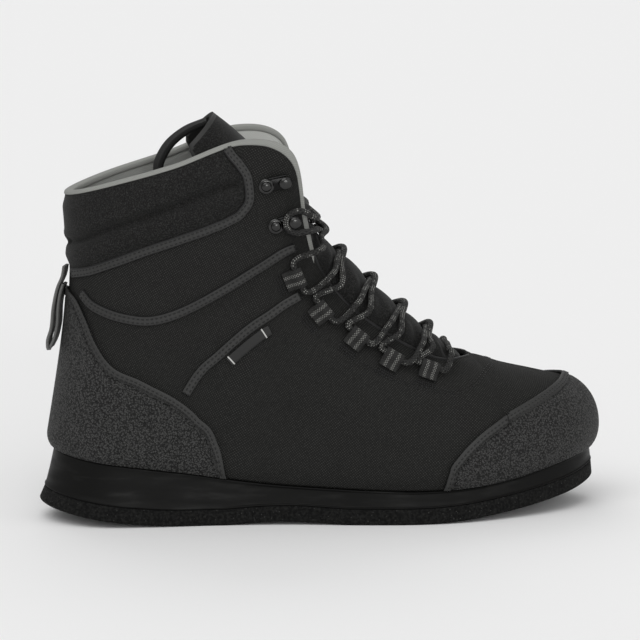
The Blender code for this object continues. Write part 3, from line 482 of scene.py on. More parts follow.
def top_line(u):
    """The upper's top line: ridge, then throat edge, then collar."""
    x = BOOT_LENGTH * (spline(LOOPS["top_along"], u) - HEEL_REST)
    half = THROAT_WIDTH / 2 * np.clip(np.abs(spline(LOOPS["half"], u)), 0, 1)
    more = (COLLAR_WIDTH - THROAT_WIDTH) / 2 / HALF_BEYOND
    half = half + more * np.clip(np.abs(spline(LOOPS["half"], u)) - 1, 0, None)
    sign = np.sign(spline(LOOPS["half"], u))
    swing = BALL_WIDTH * spline(LOOPS["swing"], u)
    y = swing + sign * half * throat_opening(u)
    z = TOE_HEIGHT + (COLLAR_HEIGHT - TOE_HEIGHT) * spline(LOOPS["top"], u)
    return np.stack([x, y, z], -1)


def bare_skin(u, v):
    """The upper's outer surface without its pads. v runs from the sole, 0, to the top line, 1."""
    u, v = np.broadcast_arrays(np.asarray(u, float), np.asarray(v, float))
    plan, normal = feather(u)
    foot = np.concatenate([plan, seat_height(u)[..., None] + GAP], -1)
    out = BULGE_OUT * spline(LOOPS["bulge"], u)
    rise = BULGE_UP * spline(LOOPS["rise"], u)
    wide = foot + np.concatenate([normal * out[..., None], rise[..., None]], -1)
    top = top_line(u)
    span = top - wide
    low_in, low_up = spline(LOOPS["low_in"], u), spline(LOOPS["low_up"], u)
    high_in, high_up = spline(LOOPS["high_in"], u), spline(LOOPS["high_up"], u)
    low = wide + span * np.stack([low_in, low_in, low_up], -1)
    high = wide + span * np.stack([high_in, high_in, high_up], -1)
    high[..., 2] += spline(LOOPS["slope"], u) * (high[..., 0] - top[..., 0])
    hem = wide - unit(low - wide) * (HEM_REACH * rise)[..., None]
    s = np.clip(v / WIDEST, 0, 1)[..., None]
    t = np.clip((v - WIDEST) / (1 - WIDEST), 0, 1)[..., None]
    lower = (1 - s) ** 2 * foot + 2 * s * (1 - s) * hem + s**2 * wide
    return np.where((v < WIDEST)[..., None], lower, bezier(wide, low, high, top, t))


def run_of(u, v, axis, step):
    """How far the bare skin goes in two steps, up the levels or round the stations."""
    v = np.clip(v, step, 1 - step)
    if axis == "up":
        return bare_skin(u, v + step) - bare_skin(u, v - step)
    return bare_skin(u + step, v) - bare_skin(u - step, v)


def skin_normal(u, v):
    u, v = np.broadcast_arrays(np.asarray(u, float), np.asarray(v, float))
    return unit(np.cross(run_of(u, v, "up", SKIN_STEP), run_of(u, v, "round", SKIN_STEP)))


def slope_along(u, v, axis):
    return unit(run_of(u, v, axis, SKIN_STEP))


def pad_front(v):
    """The station where the collar pads end in front, at each level."""
    stations, levels = zip(*PAD_FRONT_LINE)
    return np.interp(v, levels, stations)


def puff(u, v):
    """How far the collar's pads swell, from the band under them to the collar's rim."""
    row = row_of(u)
    floor = np.interp(row, *zip(*PAD_FLOOR_LINE))
    above = smooth((v - floor - PAD_START) / PAD_EDGE_LEVEL)
    behind = smooth((row - pad_front(v)) / PAD_EDGE_STATIONS)
    groove = np.exp(-(((v - floor - CHANNEL_LEVEL) / CHANNEL_SPREAD) ** 2))
    rim = smooth((1 - v) / PAD_EDGE_LEVEL)
    return PAD_PUFF * above * behind * rim * (1 - groove)


def skin(u, v, out=0.0):
    """A point of the upper's outer face, moved out along its normal, never below its foot."""
    u, v = np.broadcast_arrays(np.asarray(u, float), np.asarray(v, float))
    far = (puff(u, v) + np.asarray(out))[..., None]
    point = bare_skin(u, v) + skin_normal(u, v) * far
    point[..., 2] = np.maximum(point[..., 2], seat_height(u) + GAP)
    return point


def other_side(u):
    return AROUND - np.asarray(u, float)


def on_side(u, far):
    """A station, or the one across from it where far."""
    return other_side(u) if far else u


def tongue_values(s):
    rows = np.array(list(TONGUE.values()), float)
    s = np.asarray(s, float)
    start = np.clip(np.floor(s).astype(int), 0, len(rows) - 2)
    t = (s - start)[..., None]
    found = blend(*(rows[np.clip(start + step, 0, len(rows) - 1)] for step in (-1, 0, 1, 2)), t)
    return np.moveaxis(found, -1, 0)


def tongue_face(s, t):
    """The tongue's outer face: s counts rows from its root, t runs -1 to 1 across it."""
    s, t = np.broadcast_arrays(np.asarray(s, float), np.asarray(t, float))
    station, depth, lift, along, high, tuck, flap = tongue_values(s)
    ridge = np.stack([BOOT_LENGTH * (along - HEEL_REST), np.zeros(s.shape), COLLAR_HEIGHT * high], -1)
    lips, handles, hems = [], [], []
    for u in (station, other_side(station)):
        out = skin_normal(u, np.ones(s.shape))
        raised = np.stack([np.zeros(s.shape), np.zeros(s.shape), TONGUE_DEPTH * lift], -1)
        sunk = out * (TONGUE_DEPTH * depth)[..., None]
        lips.append(bare_skin(u, np.ones(s.shape)) - sunk + raised)
        hems.append(bare_skin(u, 1 - flap) - sunk + raised)
        handles.append(slope_along(u, np.ones(s.shape), "up") * (TONGUE_DEPTH * tuck)[..., None])
    shift = (ridge - (lips[0] + lips[1]) / 2) * 4 / 3 - (handles[0] + handles[1]) / 2
    w = np.clip((t / FLAP_START + 1) / 2, 0, 1)[..., None]
    arch = bezier(lips[0], lips[0] + handles[0] + shift, lips[1] + handles[1] + shift, lips[1], w)
    fold = np.clip((np.abs(t) - FLAP_START) / (1 - FLAP_START), 0, 1)[..., None]
    hem = np.where((t < 0)[..., None], hems[0] - lips[0], hems[1] - lips[1])
    return arch + hem * fold


def tongue_point(s, t, out=0.0):
    """A point out from the tongue's outer face, along its normal."""
    step = 0.02
    run = tongue_face(s + step, t) - tongue_face(s - step, t)
    over = tongue_face(s, t + step) - tongue_face(s, t - step)
    return tongue_face(s, t) + unit(np.cross(over, run)) * np.asarray(out)[..., None]


def side_view(rows):
    """(along, up) shares as X and Z."""
    rows = np.asarray(rows, float)
    return np.stack([BOOT_LENGTH * (rows[:, 0] - HEEL_REST), COLLAR_HEIGHT * rows[:, 1]], -1)


def skin_place(u, v, toward, lift):
    """A frame on the skin at (u, v): X towards a direction, Z outwards, raised by lift."""
    out = skin_normal(u, v)
    run = toward - out * float(toward @ out)
    run /= np.linalg.norm(run)
    return matrix_of(run, np.cross(out, run), out, skin(u, v, lift))


def loop_place(number, far):
    """Where a lace loop is sewn on: X points across the lace, towards the loop's fold."""
    station, level, lean = list(LACE_LOOPS.values())[number - 1]
    u = on_side(station, far)
    forward = slope_along(u, level, "round") * (lean if far else -lean)
    return skin_place(u, level, slope_along(u, level, "up") + forward, LIFT)


def hook_place(number, far):
    """Where a hook is riveted on: X points from its tail to its curl."""
    station, level, toward_station, toward_level = list(HOOKS.values())[number - 1]
    tail, curl = on_side(station, far), on_side(toward_station, far)
    return skin_place(tail, level, skin(curl, toward_level) - skin(tail, level), LIFT)


def loop_seat(number, end, far):
    """A point on the line through a lace loop: end counts half widths towards the collar."""
    way = -1 if far else 1
    seat = Vector((LACE_SEAT * LOOP_LENGTH, way * end * LOOP_WIDTH / 2,
                   LOOP_FOOT + LACE_FIT + LACE_RADIUS))
    return np.array(loop_place(number, far) @ seat)


def over_lip(u, far):
    """A point above the throat's edge at a station."""
    edge = skin(np.array([on_side(u, far)]), np.array([LIP_LEVEL]), LACE_OVER_EDGE)[0]
    return edge + np.array((LIP_AHEAD, 0, 0))


def hook_turn(number, far):
    """The lace's points round a hook, from its lower side to its upper one."""
    frame = hook_place(number, far)
    way = -1 if far else 1
    high = HOOK_STRAP + GAP + LACE_FIT + LACE_RADIUS
    return [np.array(frame @ Vector((along * HOOK_LENGTH, way * side * HOOK_LENGTH, high * up)))
            for along, side, up in HOOK_TURN]


def over_tongue(s, t, high=1.0):
    return tongue_point(np.array([s]), np.array([t]), np.array([LACE_OVER * high]))[0]


def over_shoulder(ridge, u, far):
    """A point above the tongue, between its ridge and the throat's edge at a station."""
    at = np.interp(u, [row[0] for row in TONGUE.values()], range(len(TONGUE)))
    return over_tongue((ridge + at) / 2, LACE_SHOULDER if far else -LACE_SHOULDER, SHOULDER_RISE)


def sole_sections(levels, top_height, bottom_height):
    """Sections across the sole, from toe tip to heel. Each level is (outward, height)."""
    u = np.array(SOLE_CUTS)
    inner = np.linspace(0, 1, SOLE_ACROSS + 1)[1:-1]
    sides = []
    for side in (u, other_side(u)):
        rings = []
        for outward, height in levels:
            plan, _ = feather(side, outward(side))
            rings.append(np.concatenate([plan, height(side, plan[:, 0])[:, None]], -1))
        sides.append(rings)
    near, far = sides

    def across(start, end, height):
        spread = []
        for share in inner:
            point = start + (end - start) * share
            point[:, 2] = height(u, point[:, 0])
            spread.append(point)
        return spread

    ring = near + across(near[-1], far[-1], top_height) + far[::-1]
    ring += across(far[0], near[0], bottom_height)
    return np.stack(ring, 1)


def flared(share):
    """Distance outside the upper's foot line, share of the way down the flare."""
    return lambda u: SOLE_MARGIN + share * SOLE_FLARE * spline(LOOPS["flare"], u)


def above_tread(high):
    return lambda u, x: tread_height(x) + high


def below_seat(low):
    return lambda u, x: seat_height(u) - low


# Materials


def tone(code):
    """A hex sRGB colour as linear light."""
    parts = [int(code[k:k + 2], 16) / 255 for k in (0, 2, 4)]
    return tuple(p / 12.92 if p <= 0.04045 else ((p + 0.055) / 1.055) ** 2.4 for p in parts) + (1,)


def node(tree, kind, links=None, **settings):
    """Adds a shader node, sets it, and links or fills its sockets."""
    made = tree.nodes.new("ShaderNode" + kind)
    for name, value in settings.items():
        setattr(made, name, value)
    for socket, value in (links or {}).items():
        if isinstance(value, bpy.types.NodeSocket):
            tree.links.new(value, made.inputs[socket])
        else:
            made.inputs[socket].default_value = value
    return made


def surface(name, roughness, **sockets):
    """A named material with its Principled shader and the two usual coordinates."""
    material = bpy.data.materials.new(name)
    material.use_nodes = True
    tree = material.node_tree
    shader = tree.nodes["Principled BSDF"]
    shader.inputs["Roughness"].default_value = roughness
    for socket, value in sockets.items():
        shader.inputs[socket.replace("_", " ")].default_value = value
    place = node(tree, "TexCoord")
    return material, tree, shader, place


def mixed(tree, amount, first, second):
    """Two colours, hex or from sockets, mixed by a pattern or a number."""
    first, second = (tone(value) if isinstance(value, str) else value for value in (first, second))
    return node(tree, "Mix", {0: amount, 6: first, 7: second}, data_type="RGBA").outputs[2]


def maths(tree, operation, *values):
    """A Math node's result on numbers or sockets."""
    return node(tree, "Math", dict(enumerate(values)), operation=operation).outputs[0]


def coloured(tree, shader, colour):
    """Gives the shader a patterned colour."""
    tree.links.new(colour, shader.inputs["Base Color"])


def ramped(tree, value, low, high):
    """A pattern's value stretched so that low becomes 0 and high becomes 1."""
    made = node(tree, "MapRange", {"Value": value, "From Min": low, "From Max": high})
    return made.outputs["Result"]


def threads(tree, chart, spacing, angle):
    """Two crossed sets of threads a spacing apart, turned by an angle on the cloth."""
    turned = node(tree, "Mapping", {"Vector": chart, "Rotation": (0, 0, math.radians(angle))})
    scale = math.tau / (20 * spacing)
    sets = [node(tree, "TexWave", {"Vector": turned.outputs[0], "Scale": scale, "Distortion": 0.6,
                                   "Detail": 1.0, "Detail Scale": 2.0}, bands_direction=way)
            for way in ("X", "Y")]
    return maths(tree, "MULTIPLY", *(made.outputs["Fac"] for made in sets))


def speckle(tree, coordinate, size, detail):
    """Soft noise with spots of about a size."""
    made = node(tree, "TexNoise", {"Vector": coordinate, "Scale": 1 / size, "Detail": detail})
    return made.outputs["Fac"]


def raise_by(tree, shader, height, distance, strength):
    """Bumps the shader by a pattern's height."""
    made = node(tree, "Bump", {"Height": height, "Distance": distance, "Strength": strength})
    tree.links.new(made.outputs[0], shader.inputs["Normal"])


def grained(name, metallic=0.0):
    """One of the plain materials, which are fine grain in two tones."""
    roughness, shine, size, detail, dark, light, depth, strength = PLAIN_MATERIALS[name]
    material, tree, shader, place = surface(name, roughness, Specular_IOR_Level=shine, Metallic=metallic)
    grain = speckle(tree, place.outputs["Object"], size, detail)
    coloured(tree, shader, mixed(tree, grain, dark, light))
    if depth:
        raise_by(tree, shader, grain, depth, strength)
    return material


def coated_cloth(name, dark, light, angle, spacing):
    """Polyester canvas, woven and coated: matt, with pale points where the threads cross."""
    material, tree, shader, place = surface(name, 0.8, Specular_IOR_Level=0.15)
    weave = threads(tree, place.outputs["UV"], spacing, angle)
    patchy = speckle(tree, place.outputs["Object"], 0.018, 3)
    fleck = speckle(tree, place.outputs["Object"], 0.0011, 1)
    dots = maths(tree, "MULTIPLY", weave, fleck)
    base = mixed(tree, ramped(tree, dots, 0.12, 0.55), dark, light)
    shade = mixed(tree, ramped(tree, patchy, 0.25, 0.75), "1c1c1b", "252524")
    coloured(tree, shader, mixed(tree, 0.2, base, shade))
    raise_by(tree, shader, weave, 0.0002, 1.0)
    return material


def pad_cloth():
    """Stretch knit over foam: a soft matt black with a fine grain of stitches."""
    material, tree, shader, place = surface("stretch cloth over foam", 0.84, Specular_IOR_Level=0.12)
    shader.inputs["Sheen Weight"].default_value = 0.06
    knit = speckle(tree, place.outputs["Object"], 0.0006, 2)
    patchy = speckle(tree, place.outputs["Object"], 0.02, 3)
    ground = mixed(tree, patchy, "101010", "161615")
    coloured(tree, shader, mixed(tree, ramped(tree, knit, 0.45, 0.75), ground, "343433"))
    raise_by(tree, shader, knit, 0.00015, 0.8)
    return material


def gritty_rubber():
    """Polyurethane film over ground grit: small rounded grains, some of which catch the light."""
    material, tree, shader, place = surface("gritty polyurethane overlay", 0.6, Specular_IOR_Level=0.25)
    grains = node(tree, "TexVoronoi", {"Vector": place.outputs["Object"], "Scale": 1 / 0.0011,
                                       "Randomness": 1.0}, feature="F1").outputs["Distance"]
    fine = speckle(tree, place.outputs["Object"], 0.0006, 2)
    clumps = speckle(tree, place.outputs["Object"], 0.009, 3)
    height = maths(tree, "SUBTRACT", fine, grains)
    base = mixed(tree, ramped(tree, height, -0.15, 0.25), "070707", "515150")
    dark = mixed(tree, ramped(tree, clumps, 0.30, 0.70), "20201f", "2c2c2b")
    coloured(tree, shader, mixed(tree, 0.35, base, dark))
    raise_by(tree, shader, height, 0.0011, 1.0)
    return material


def moulded_rubber():
    """Compression-moulded EVA skin: smooth black with faint flow marks along it."""
    material, tree, shader, place = surface("moulded black sole rubber", 0.5, Specular_IOR_Level=0.12)
    drawn = node(tree, "Mapping", {"Vector": place.outputs["Object"], "Scale": (1, 1, 6)})
    marks = speckle(tree, drawn.outputs[0], 0.03, 5)
    fine = speckle(tree, place.outputs["Object"], 0.002, 2)
    coloured(tree, shader, mixed(tree, ramped(tree, marks, 0.52, 0.72), "0a0a09", "1b1b1a"))
    tree.links.new(ramped(tree, marks, 1.4, -0.4), shader.inputs["Roughness"])
    raise_by(tree, shader, fine, 0.0001, 0.5)
    return material


def wading_felt():
    """Needled polypropylene felt: dense, quite matt, with pale and black fibres mixed in."""
    material, tree, shader, place = surface("needled sole felt", 0.97, Specular_IOR_Level=0.2)
    fibres = speckle(tree, place.outputs["Object"], 0.0014, 6)
    pale = node(tree, "TexVoronoi", {"Vector": place.outputs["Object"], "Scale": 1 / 0.0022},
                feature="F1").outputs["Distance"]
    base = mixed(tree, ramped(tree, fibres, 0.40, 0.72), "060606", "1e1e1d")
    coloured(tree, shader, mixed(tree, ramped(tree, pale, 0.16, 0.05), base, "424240"))
    raise_by(tree, shader, fibres, 0.0008, 0.9)
    return material


def lining_mesh(name, dark, light):
    """Polyester spacer mesh: pale warm grey, with small dark pits."""
    material, tree, shader, place = surface(name, 0.9, Specular_IOR_Level=0.2)
    pits = threads(tree, place.outputs["UV"], 0.0009, 45)
    soft = speckle(tree, place.outputs["Object"], 0.02, 3)
    base = mixed(tree, ramped(tree, pits, 0.05, 0.5), dark, light)
    coloured(tree, shader, mixed(tree, ramped(tree, soft, 0.4, 2.2), base, dark))
    raise_by(tree, shader, pits, 0.0002, 0.7)
    return material


def webbing(name, shade, ground, stripe, half_width, stripe_at, stripe_half):
    """Woven polyester webbing: ribs across it, and paler warp threads in stripes."""
    material, tree, shader, place = surface(name, 0.8, Specular_IOR_Level=0.25)
    apart = node(tree, "SeparateXYZ", {0: place.outputs["UV"]})
    out = maths(tree, "ABSOLUTE", maths(tree, "SUBTRACT", apart.outputs["Y"], half_width))
    near = maths(tree, "ABSOLUTE", maths(tree, "SUBTRACT", out, stripe_at))
    striped = ramped(tree, near, stripe_half * 1.15, stripe_half * 0.85)
    ribs = threads(tree, place.outputs["UV"], 0.0011, 45)
    yarn = mixed(tree, ramped(tree, ribs, 0.15, 0.6), ground, stripe)
    ground_tone = mixed(tree, ribs, shade, ground)
    coloured(tree, shader, mixed(tree, striped, ground_tone, yarn))
    raise_by(tree, shader, ribs, 0.0003, 0.9)
    return material


def braided_cord():
    """Round polyester braid: dark grey, with pale flecks that follow the plait."""
    material, tree, shader, place = surface("braided polyester cord", 0.78, Specular_IOR_Level=0.3)
    apart = node(tree, "SeparateXYZ", {0: place.outputs["UV"]})
    plaits = []
    for lean in (1, -1):
        slid = maths(tree, "MULTIPLY", apart.outputs["Y"], lean * 1.1)
        along = maths(tree, "ADD", apart.outputs["X"], slid)
        turns = maths(tree, "MULTIPLY", along, math.tau / (2.6 * MM))
        plaits.append(maths(tree, "SINE", turns))
    crossed = maths(tree, "MAXIMUM", *plaits)
    meet = maths(tree, "MULTIPLY", *plaits)
    chance = speckle(tree, place.outputs["Object"], 0.004, 0)
    fleck = maths(tree, "MULTIPLY", ramped(tree, meet, 0.35, 0.7), ramped(tree, chance, 0.49, 0.58))
    base = mixed(tree, ramped(tree, crossed, -0.4, 1.0), "121211", "2a2a29")
    coloured(tree, shader, mixed(tree, fleck, base, "8e8e8a"))
    raise_by(tree, shader, crossed, 0.0003, 0.9)
    return material


def flap_silicone():
    """Moulded silicone tag: flat black with a pale line at each end."""
    material, tree, shader, place = surface("moulded silicone tag", 0.55, Specular_IOR_Level=0.4)
    apart = node(tree, "SeparateXYZ", {0: place.outputs["UV"]})
    ends = []
    for at in LABEL_MARKS:
        far = maths(tree, "ABSOLUTE", maths(tree, "SUBTRACT", apart.outputs["X"], at))
        ends.append(ramped(tree, far, *LABEL_MARK_FADE))
    coloured(tree, shader, mixed(tree, maths(tree, "MAXIMUM", *ends), "141413", "b9b9b6"))
    grain = speckle(tree, place.outputs["Object"], 0.0012, 2)
    raise_by(tree, shader, grain, 0.00005, 0.5)
    return material


# Meshes


def ground_grid(point, chart=None):
    """A bmesh grid whose corners are put at point[i, j], with a UV map of chart[i, j]."""
    rows, across = point.shape[0] - 1, point.shape[1] - 1
    bm = bmesh.new()
    bmesh.ops.create_grid(bm, x_segments=rows, y_segments=across, size=1)
    spots = [(round((vert.co.x + 1) / 2 * rows), round((vert.co.y + 1) / 2 * across)) for vert in bm.verts]
    if chart is not None:
        layer = bm.loops.layers.uv.new("cloth")
        bm.verts.index_update()
        for face in bm.faces:
            for loop in face.loops:
                loop[layer].uv = chart[spots[loop.vert.index]]
    for vert, spot in zip(bm.verts, spots):
        vert.co = point[spot]
    return bm


def added(name, data):
    """A new object of the scene that holds the data."""
    made = bpy.data.objects.new(name, data)
    bpy.context.collection.objects.link(made)
    return made


def finished(bm, name, materials, spot=None):
    """Makes the bmesh a piece on the boot's one body."""
    mesh = bpy.data.meshes.new(name)
    bm.to_mesh(mesh)
    bm.free()
    mesh.shade_smooth()
    piece = added(name, mesh)
    for material in materials:
        mesh.materials.append(material)
    if spot is not None:
        mesh.transform(spot)
    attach(piece, "root")
    return piece


def merged(bm):
    bmesh.ops.remove_doubles(bm, verts=bm.verts, dist=2e-6)
    return bm


def lengths_along(points):
    steps = np.linalg.norm(np.diff(points, axis=0), axis=-1)
    return np.concatenate([np.zeros_like(steps[:1]), np.cumsum(steps, axis=0)])


def chart_of(point):
    """A UV map in metres: distance along the middle row, and up from the first column."""
    middle = point.shape[1] // 2
    along = lengths_along(point[:, middle])
    up = lengths_along(point.transpose(1, 0, 2)).T
    return np.stack([np.repeat(along[:, None], point.shape[1], 1), up], -1)


def lofted(sections, name, materials, capped=True):
    """A closed solid through closed sections, given as sections[i, j], smooth and UV-mapped."""
    sections = np.concatenate([sections, sections[:, :1]], 1)
    bm = merged(ground_grid(sections, chart_of(sections)))
    if capped:
        edges = [edge for edge in bm.edges if edge.is_boundary]
        bmesh.ops.holes_fill(bm, edges=edges, sides=0)
    bmesh.ops.recalc_face_normals(bm, faces=bm.faces)
    return finished(bm, name, materials)


def with_wall(piece, thickness, offset=-1.0, inner=0, rim=0):
    wall = piece.modifiers.new("wall", "SOLIDIFY")
    wall.thickness = thickness
    wall.offset = offset
    wall.use_even_offset = False
    wall.material_offset = inner
    wall.material_offset_rim = rim
    return wall


def centred(path):
    """Unit run vectors along a path, turned evenly at its corners."""
    return unit(np.gradient(path, axis=0))


def evenly(points, count):
    """A smooth curve through points, cut into equal lengths."""
    points = np.asarray(points, float)
    gaps = np.maximum(np.linalg.norm(np.diff(points, axis=0), axis=-1), 1e-6)
    knots = np.concatenate([[0], np.cumsum(gaps)])
    tangents = np.zeros_like(points)
    tangents[1:-1] = ((points[2:] - points[1:-1]) / gaps[1:, None] * gaps[:-1, None]
                      + (points[1:-1] - points[:-2]) / gaps[:-1, None] * gaps[1:, None])
    tangents[1:-1] /= (gaps[1:] + gaps[:-1])[:, None]
    tangents[0] = (points[1] - points[0]) / gaps[0]
    tangents[-1] = (points[-1] - points[-2]) / gaps[-1]
    at = np.linspace(0, knots[-1], count * 6)
    k = np.clip(np.searchsorted(knots, at, side="right") - 1, 0, len(gaps) - 1)
    h = gaps[k][:, None]
    t = (at - knots[k])[:, None] / h
    curve = ((2 * t**3 - 3 * t**2 + 1) * points[k] + (t**3 - 2 * t**2 + t) * h * tangents[k]
             + (3 * t**2 - 2 * t**3) * points[k + 1] + (t**3 - t**2) * h * tangents[k + 1])
    gone = lengths_along(curve)
    want = np.linspace(0, gone[-1], count)
    return np.stack([np.interp(want, gone, curve[:, axis]) for axis in range(curve.shape[1])], -1)


# Upper


def relief(u, v):
    """How far the worn surface stands off the plain one: fuller pads, and soft creases."""
    more = puff(u, v) * (PAD_MORE / PAD_PUFF)
    spot = bare_skin(row_of(u), v)
    for line, depth, width in CREASES.values():
        knots = evenly(line, 24)
        knots = bare_skin(knots[:, 0], knots[:, 1])
        far = np.linalg.norm(spot[..., None, :] - knots, axis=-1).min(-1) / width
        more = more - depth * (np.exp(-far**2) - CREASE_LIP * np.exp(-(far - CREASE_LIP_AT) ** 2))
    return more


def dressed(u, v, out=0.0):
    return skin(u, v, relief(u, v) + np.asarray(out))


def wall_at(point):
    """The upper's wall: thin below, padded at the collar."""
    padded = smooth((point[..., 2] - PAD_FLOOR) / (COLLAR_HEIGHT - PAD_FLOOR))
    front = BOOT_LENGTH * (COLLAR_FRONT - HEEL_REST)
    padded = padded * smooth((front - point[..., 0]) / (BOOT_LENGTH * PAD_FADE))
    return WALL + (COLLAR_WALL - WALL) * padded


def facing_out(bm, point, outward):
    """Turns a grid's faces so that they look along the outward directions."""
    bm.verts.ensure_lookup_table()
    bm.faces.ensure_lookup_table()
    bm.normal_update()
    flat, ways = point.reshape(-1, 3), outward.reshape(-1, 3)
    votes = 0
    for face in list(bm.faces)[::len(bm.faces) // 40]:
        middle = np.array(face.calc_center_median())
        nearest = np.linalg.norm(flat - middle, axis=-1).argmin()
        votes += 1 if np.dot(np.array(face.normal), ways[nearest]) > 0 else -1
    if votes < 0:
        bmesh.ops.reverse_faces(bm, faces=bm.faces)
    return bm


def make_upper(cloth, pad, lining):
    u = np.concatenate([np.linspace(0, 4, 70)[:-1], np.linspace(4, 5.2, 34)[:-1],
                        np.linspace(5.2, LAST, 116)])
    u = np.concatenate([u, other_side(u[-2::-1])])
    v = np.concatenate([np.linspace(0, WIDEST, 9)[:-1], np.linspace(WIDEST, 0.62, 28)[:-1],
                        np.linspace(0.62, 1, 62)])
    station, level = np.meshgrid(u, v, indexing="ij")
    point = dressed(station, level)
    bm = ground_grid(point, chart_of(point))
    facing_out(bm, point, skin_normal(station, level))
    floor_rows, floor_levels = zip(*PAD_FLOOR_LINE)
    cells = len(v) - 1
    for face in bm.faces:
        middle = face.calc_center_median()
        face.material_index = 0
        if middle.z < PAD_FLOOR * 0.9:
            continue
        nearest = np.abs(point - np.array(middle)).sum(-1)
        i, j = np.unravel_index(nearest.argmin(), nearest.shape)
        row = row_of(u[i])
        level_here = v[min(j, cells)]
        if level_here > np.interp(row, floor_rows, floor_levels) and row > pad_front(level_here):
            face.material_index = 1
    merged(bm)
    upper = finished(bm, "upper_shell", [cloth, pad, lining])
    wall = upper.vertex_groups.new(name="padded")
    spots = np.array([vert.co[:] for vert in upper.data.vertices])
    for index, share in enumerate(wall_at(spots) / COLLAR_WALL):
        wall.add([index], float(share), "REPLACE")
    solid = with_wall(upper, COLLAR_WALL, inner=2, rim=1)
    solid.vertex_group = wall.name
    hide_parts("upper")
    return upper


def make_roll(name, start, end, laps, reach, material, slot):
    """An edge rolled over the wall's top, lapping down its outer face by a varying length."""
    u = np.linspace(start, end, int((end - start) * 22))
    top = np.ones(u.shape)
    up, out = slope_along(u, top, "up"), skin_normal(u, top)
    lap = np.interp(row_of(u), *zip(*laps))[:, None]
    wall = wall_at(dressed(u, top))[:, None]
    ends = (1 - np.abs(np.linspace(-1, 1, len(u))) ** ROLL_END_SHARPNESS)[:, None]
    sections = []
    for down, proud in ROLL_OUTER:
        station, level = beside(u, top, -up * lap * down)
        sections.append(dressed(station, level, (reach * proud * ends)[:, 0]))
    rim = dressed(u, top)
    for share in np.linspace(0.03, 0.97, 9):
        high = reach * ROLL_CREST * (1 - abs(2 * share - 1) ** ROLL_FLATNESS) ** ROLL_FULLNESS
        over = reach * ROLL_OVERHANG
        sections.append(rim - out * (share * (wall + 2 * over) - over) + up * high * ends)
    for down, proud in ROLL_INNER:
        sections.append(rim - out * (wall + reach * proud * ends) - up * (ROLL_INSIDE * down))
    roll = lofted(np.stack(sections, 1), name, [material])
    return roll


# Overlays, bands and seams


def beside(u, v, way):
    """The station and level that lie a small 3-D step away on the skin."""
    v = np.clip(v, SEAM_STEP, 1 - SEAM_STEP)
    along, up = (run_of(u, v, axis, SEAM_STEP) / (2 * SEAM_STEP) for axis in ("round", "up"))
    aa, au, uu = (along * along).sum(-1), (along * up).sum(-1), (up * up).sum(-1)
    wa, wu = (way * along).sum(-1), (way * up).sum(-1)
    scale = aa * uu - au * au
    return u + (wa * uu - wu * au) / scale, v + (wu * aa - wa * au) / scale


def seam_frame(line, far, count):
    """Stations, levels, across and outward directions along a seam."""
    rows = evenly(line, 400)
    u = on_side(rows[:, 0], far)
    path = bare_skin(u, rows[:, 1])
    gone = lengths_along(path)
    want = np.linspace(0, gone[-1], count)
    u, v = np.interp(want, gone, u), np.interp(want, gone, rows[:, 1])
    run = centred(bare_skin(u, v))
    across = np.cross(skin_normal(u, v), run)
    across *= np.sign(across[len(across) // 2, 2])
    return u, v, unit(across), gone[-1]


def make_band(name, line, far, width, thick, lift, materials, fold=0.0):
    """A strip along a seam, its two edges of the second material, with a raised fold near the top. On the bands
    that material is near black: painted shadow along both edges.
    """
    count = 120
    u, v, across, _ = seam_frame(line, far, count)
    spread = np.array((-1, -.97, -.88, -.6, -.3, 0, .3, .6, .8, .92, .98, 1.0))
    crown = thick * (1 - np.abs(spread) ** 10) ** 0.5 + fold * np.exp(-((spread - 0.8) / 0.16) ** 2)
    top, under = [], []
    for share, high in zip(spread, crown):
        station, level = beside(u, v, across * (share * width / 2))
        top.append(dressed(station, level, lift + high))
        under.append(dressed(station, level, -BAND_SINK))
    sections = np.stack(top + under[::-1], 1)
    band = lofted(sections, name, materials)
    reach = lengths_along(sections.mean(0))
    chart = band.data.uv_layers[0].data
    # Edge rows and underside take the second material: on the bands, painted shadow along each edge.
    for face in band.data.polygons:
        height = np.mean([chart[loop].uv[1] for loop in face.loop_indices])
        face.material_index = 0 if reach[2] < height < reach[len(spread) - 3] else 1
    return band


def make_patch(name, edge, materials, cuts):
    """A gritty overlay from the foot line up to its edge, with a folded and stitched border."""
    line = evenly(edge, 300)
    line = line[np.argsort(line[:, 0])]
    first, last = line[0, 0], line[-1, 0]
    station = np.interp(np.linspace(0, 1, cuts), np.linspace(0, 1, 300), line[:, 0])
    station = 0.5 * station + 0.5 * np.linspace(first, last, cuts)
    if first < 1:
        station = station[::-1]
    station = np.concatenate([station, other_side(station[-2::-1])])
    top = np.interp(row_of(station), line[:, 0], line[:, 1])
    rise = 1 - (1 - np.linspace(0, 1, PATCH_ROWS)) ** PATCH_CROWDING
    u = np.repeat(station[:, None], len(rise), 1)
    v = top[:, None] * rise
    bare = bare_skin(u, v)
    border = bare_skin(station, top)
    far = np.linalg.norm(bare[:, :, None, :] - border[None, None, ::2, :], axis=-1).min(-1)
    raised = BORDER_RAISE * smooth((BORDER_WIDTH - far) / BORDER_FADE)
    groove = BORDER_GROOVE * np.exp(-((far - BORDER_WIDTH - GROOVE_WIDTH) / GROOVE_WIDTH) ** 2)
    edge_round = BORDER_FADE * smooth(1 - far / BORDER_ROUND)
    point = dressed(u, v, LIFT + OVERLAY + raised - groove - edge_round)
    bm = ground_grid(point, chart_of(point))
    facing_out(bm, point, skin_normal(u, v))
    for face in bm.faces:
        middle = np.array(face.calc_center_median())
        near = np.linalg.norm(border - middle, axis=-1).min()
        face.material_index = 1 if near < BORDER_WIDTH + BORDER_MARGIN else 0
    merged(bm)
    patch = finished(bm, name + "_overlay", materials)
    with_wall(patch, OVERLAY + LIFT, rim=2)
    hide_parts(name)
    return patch


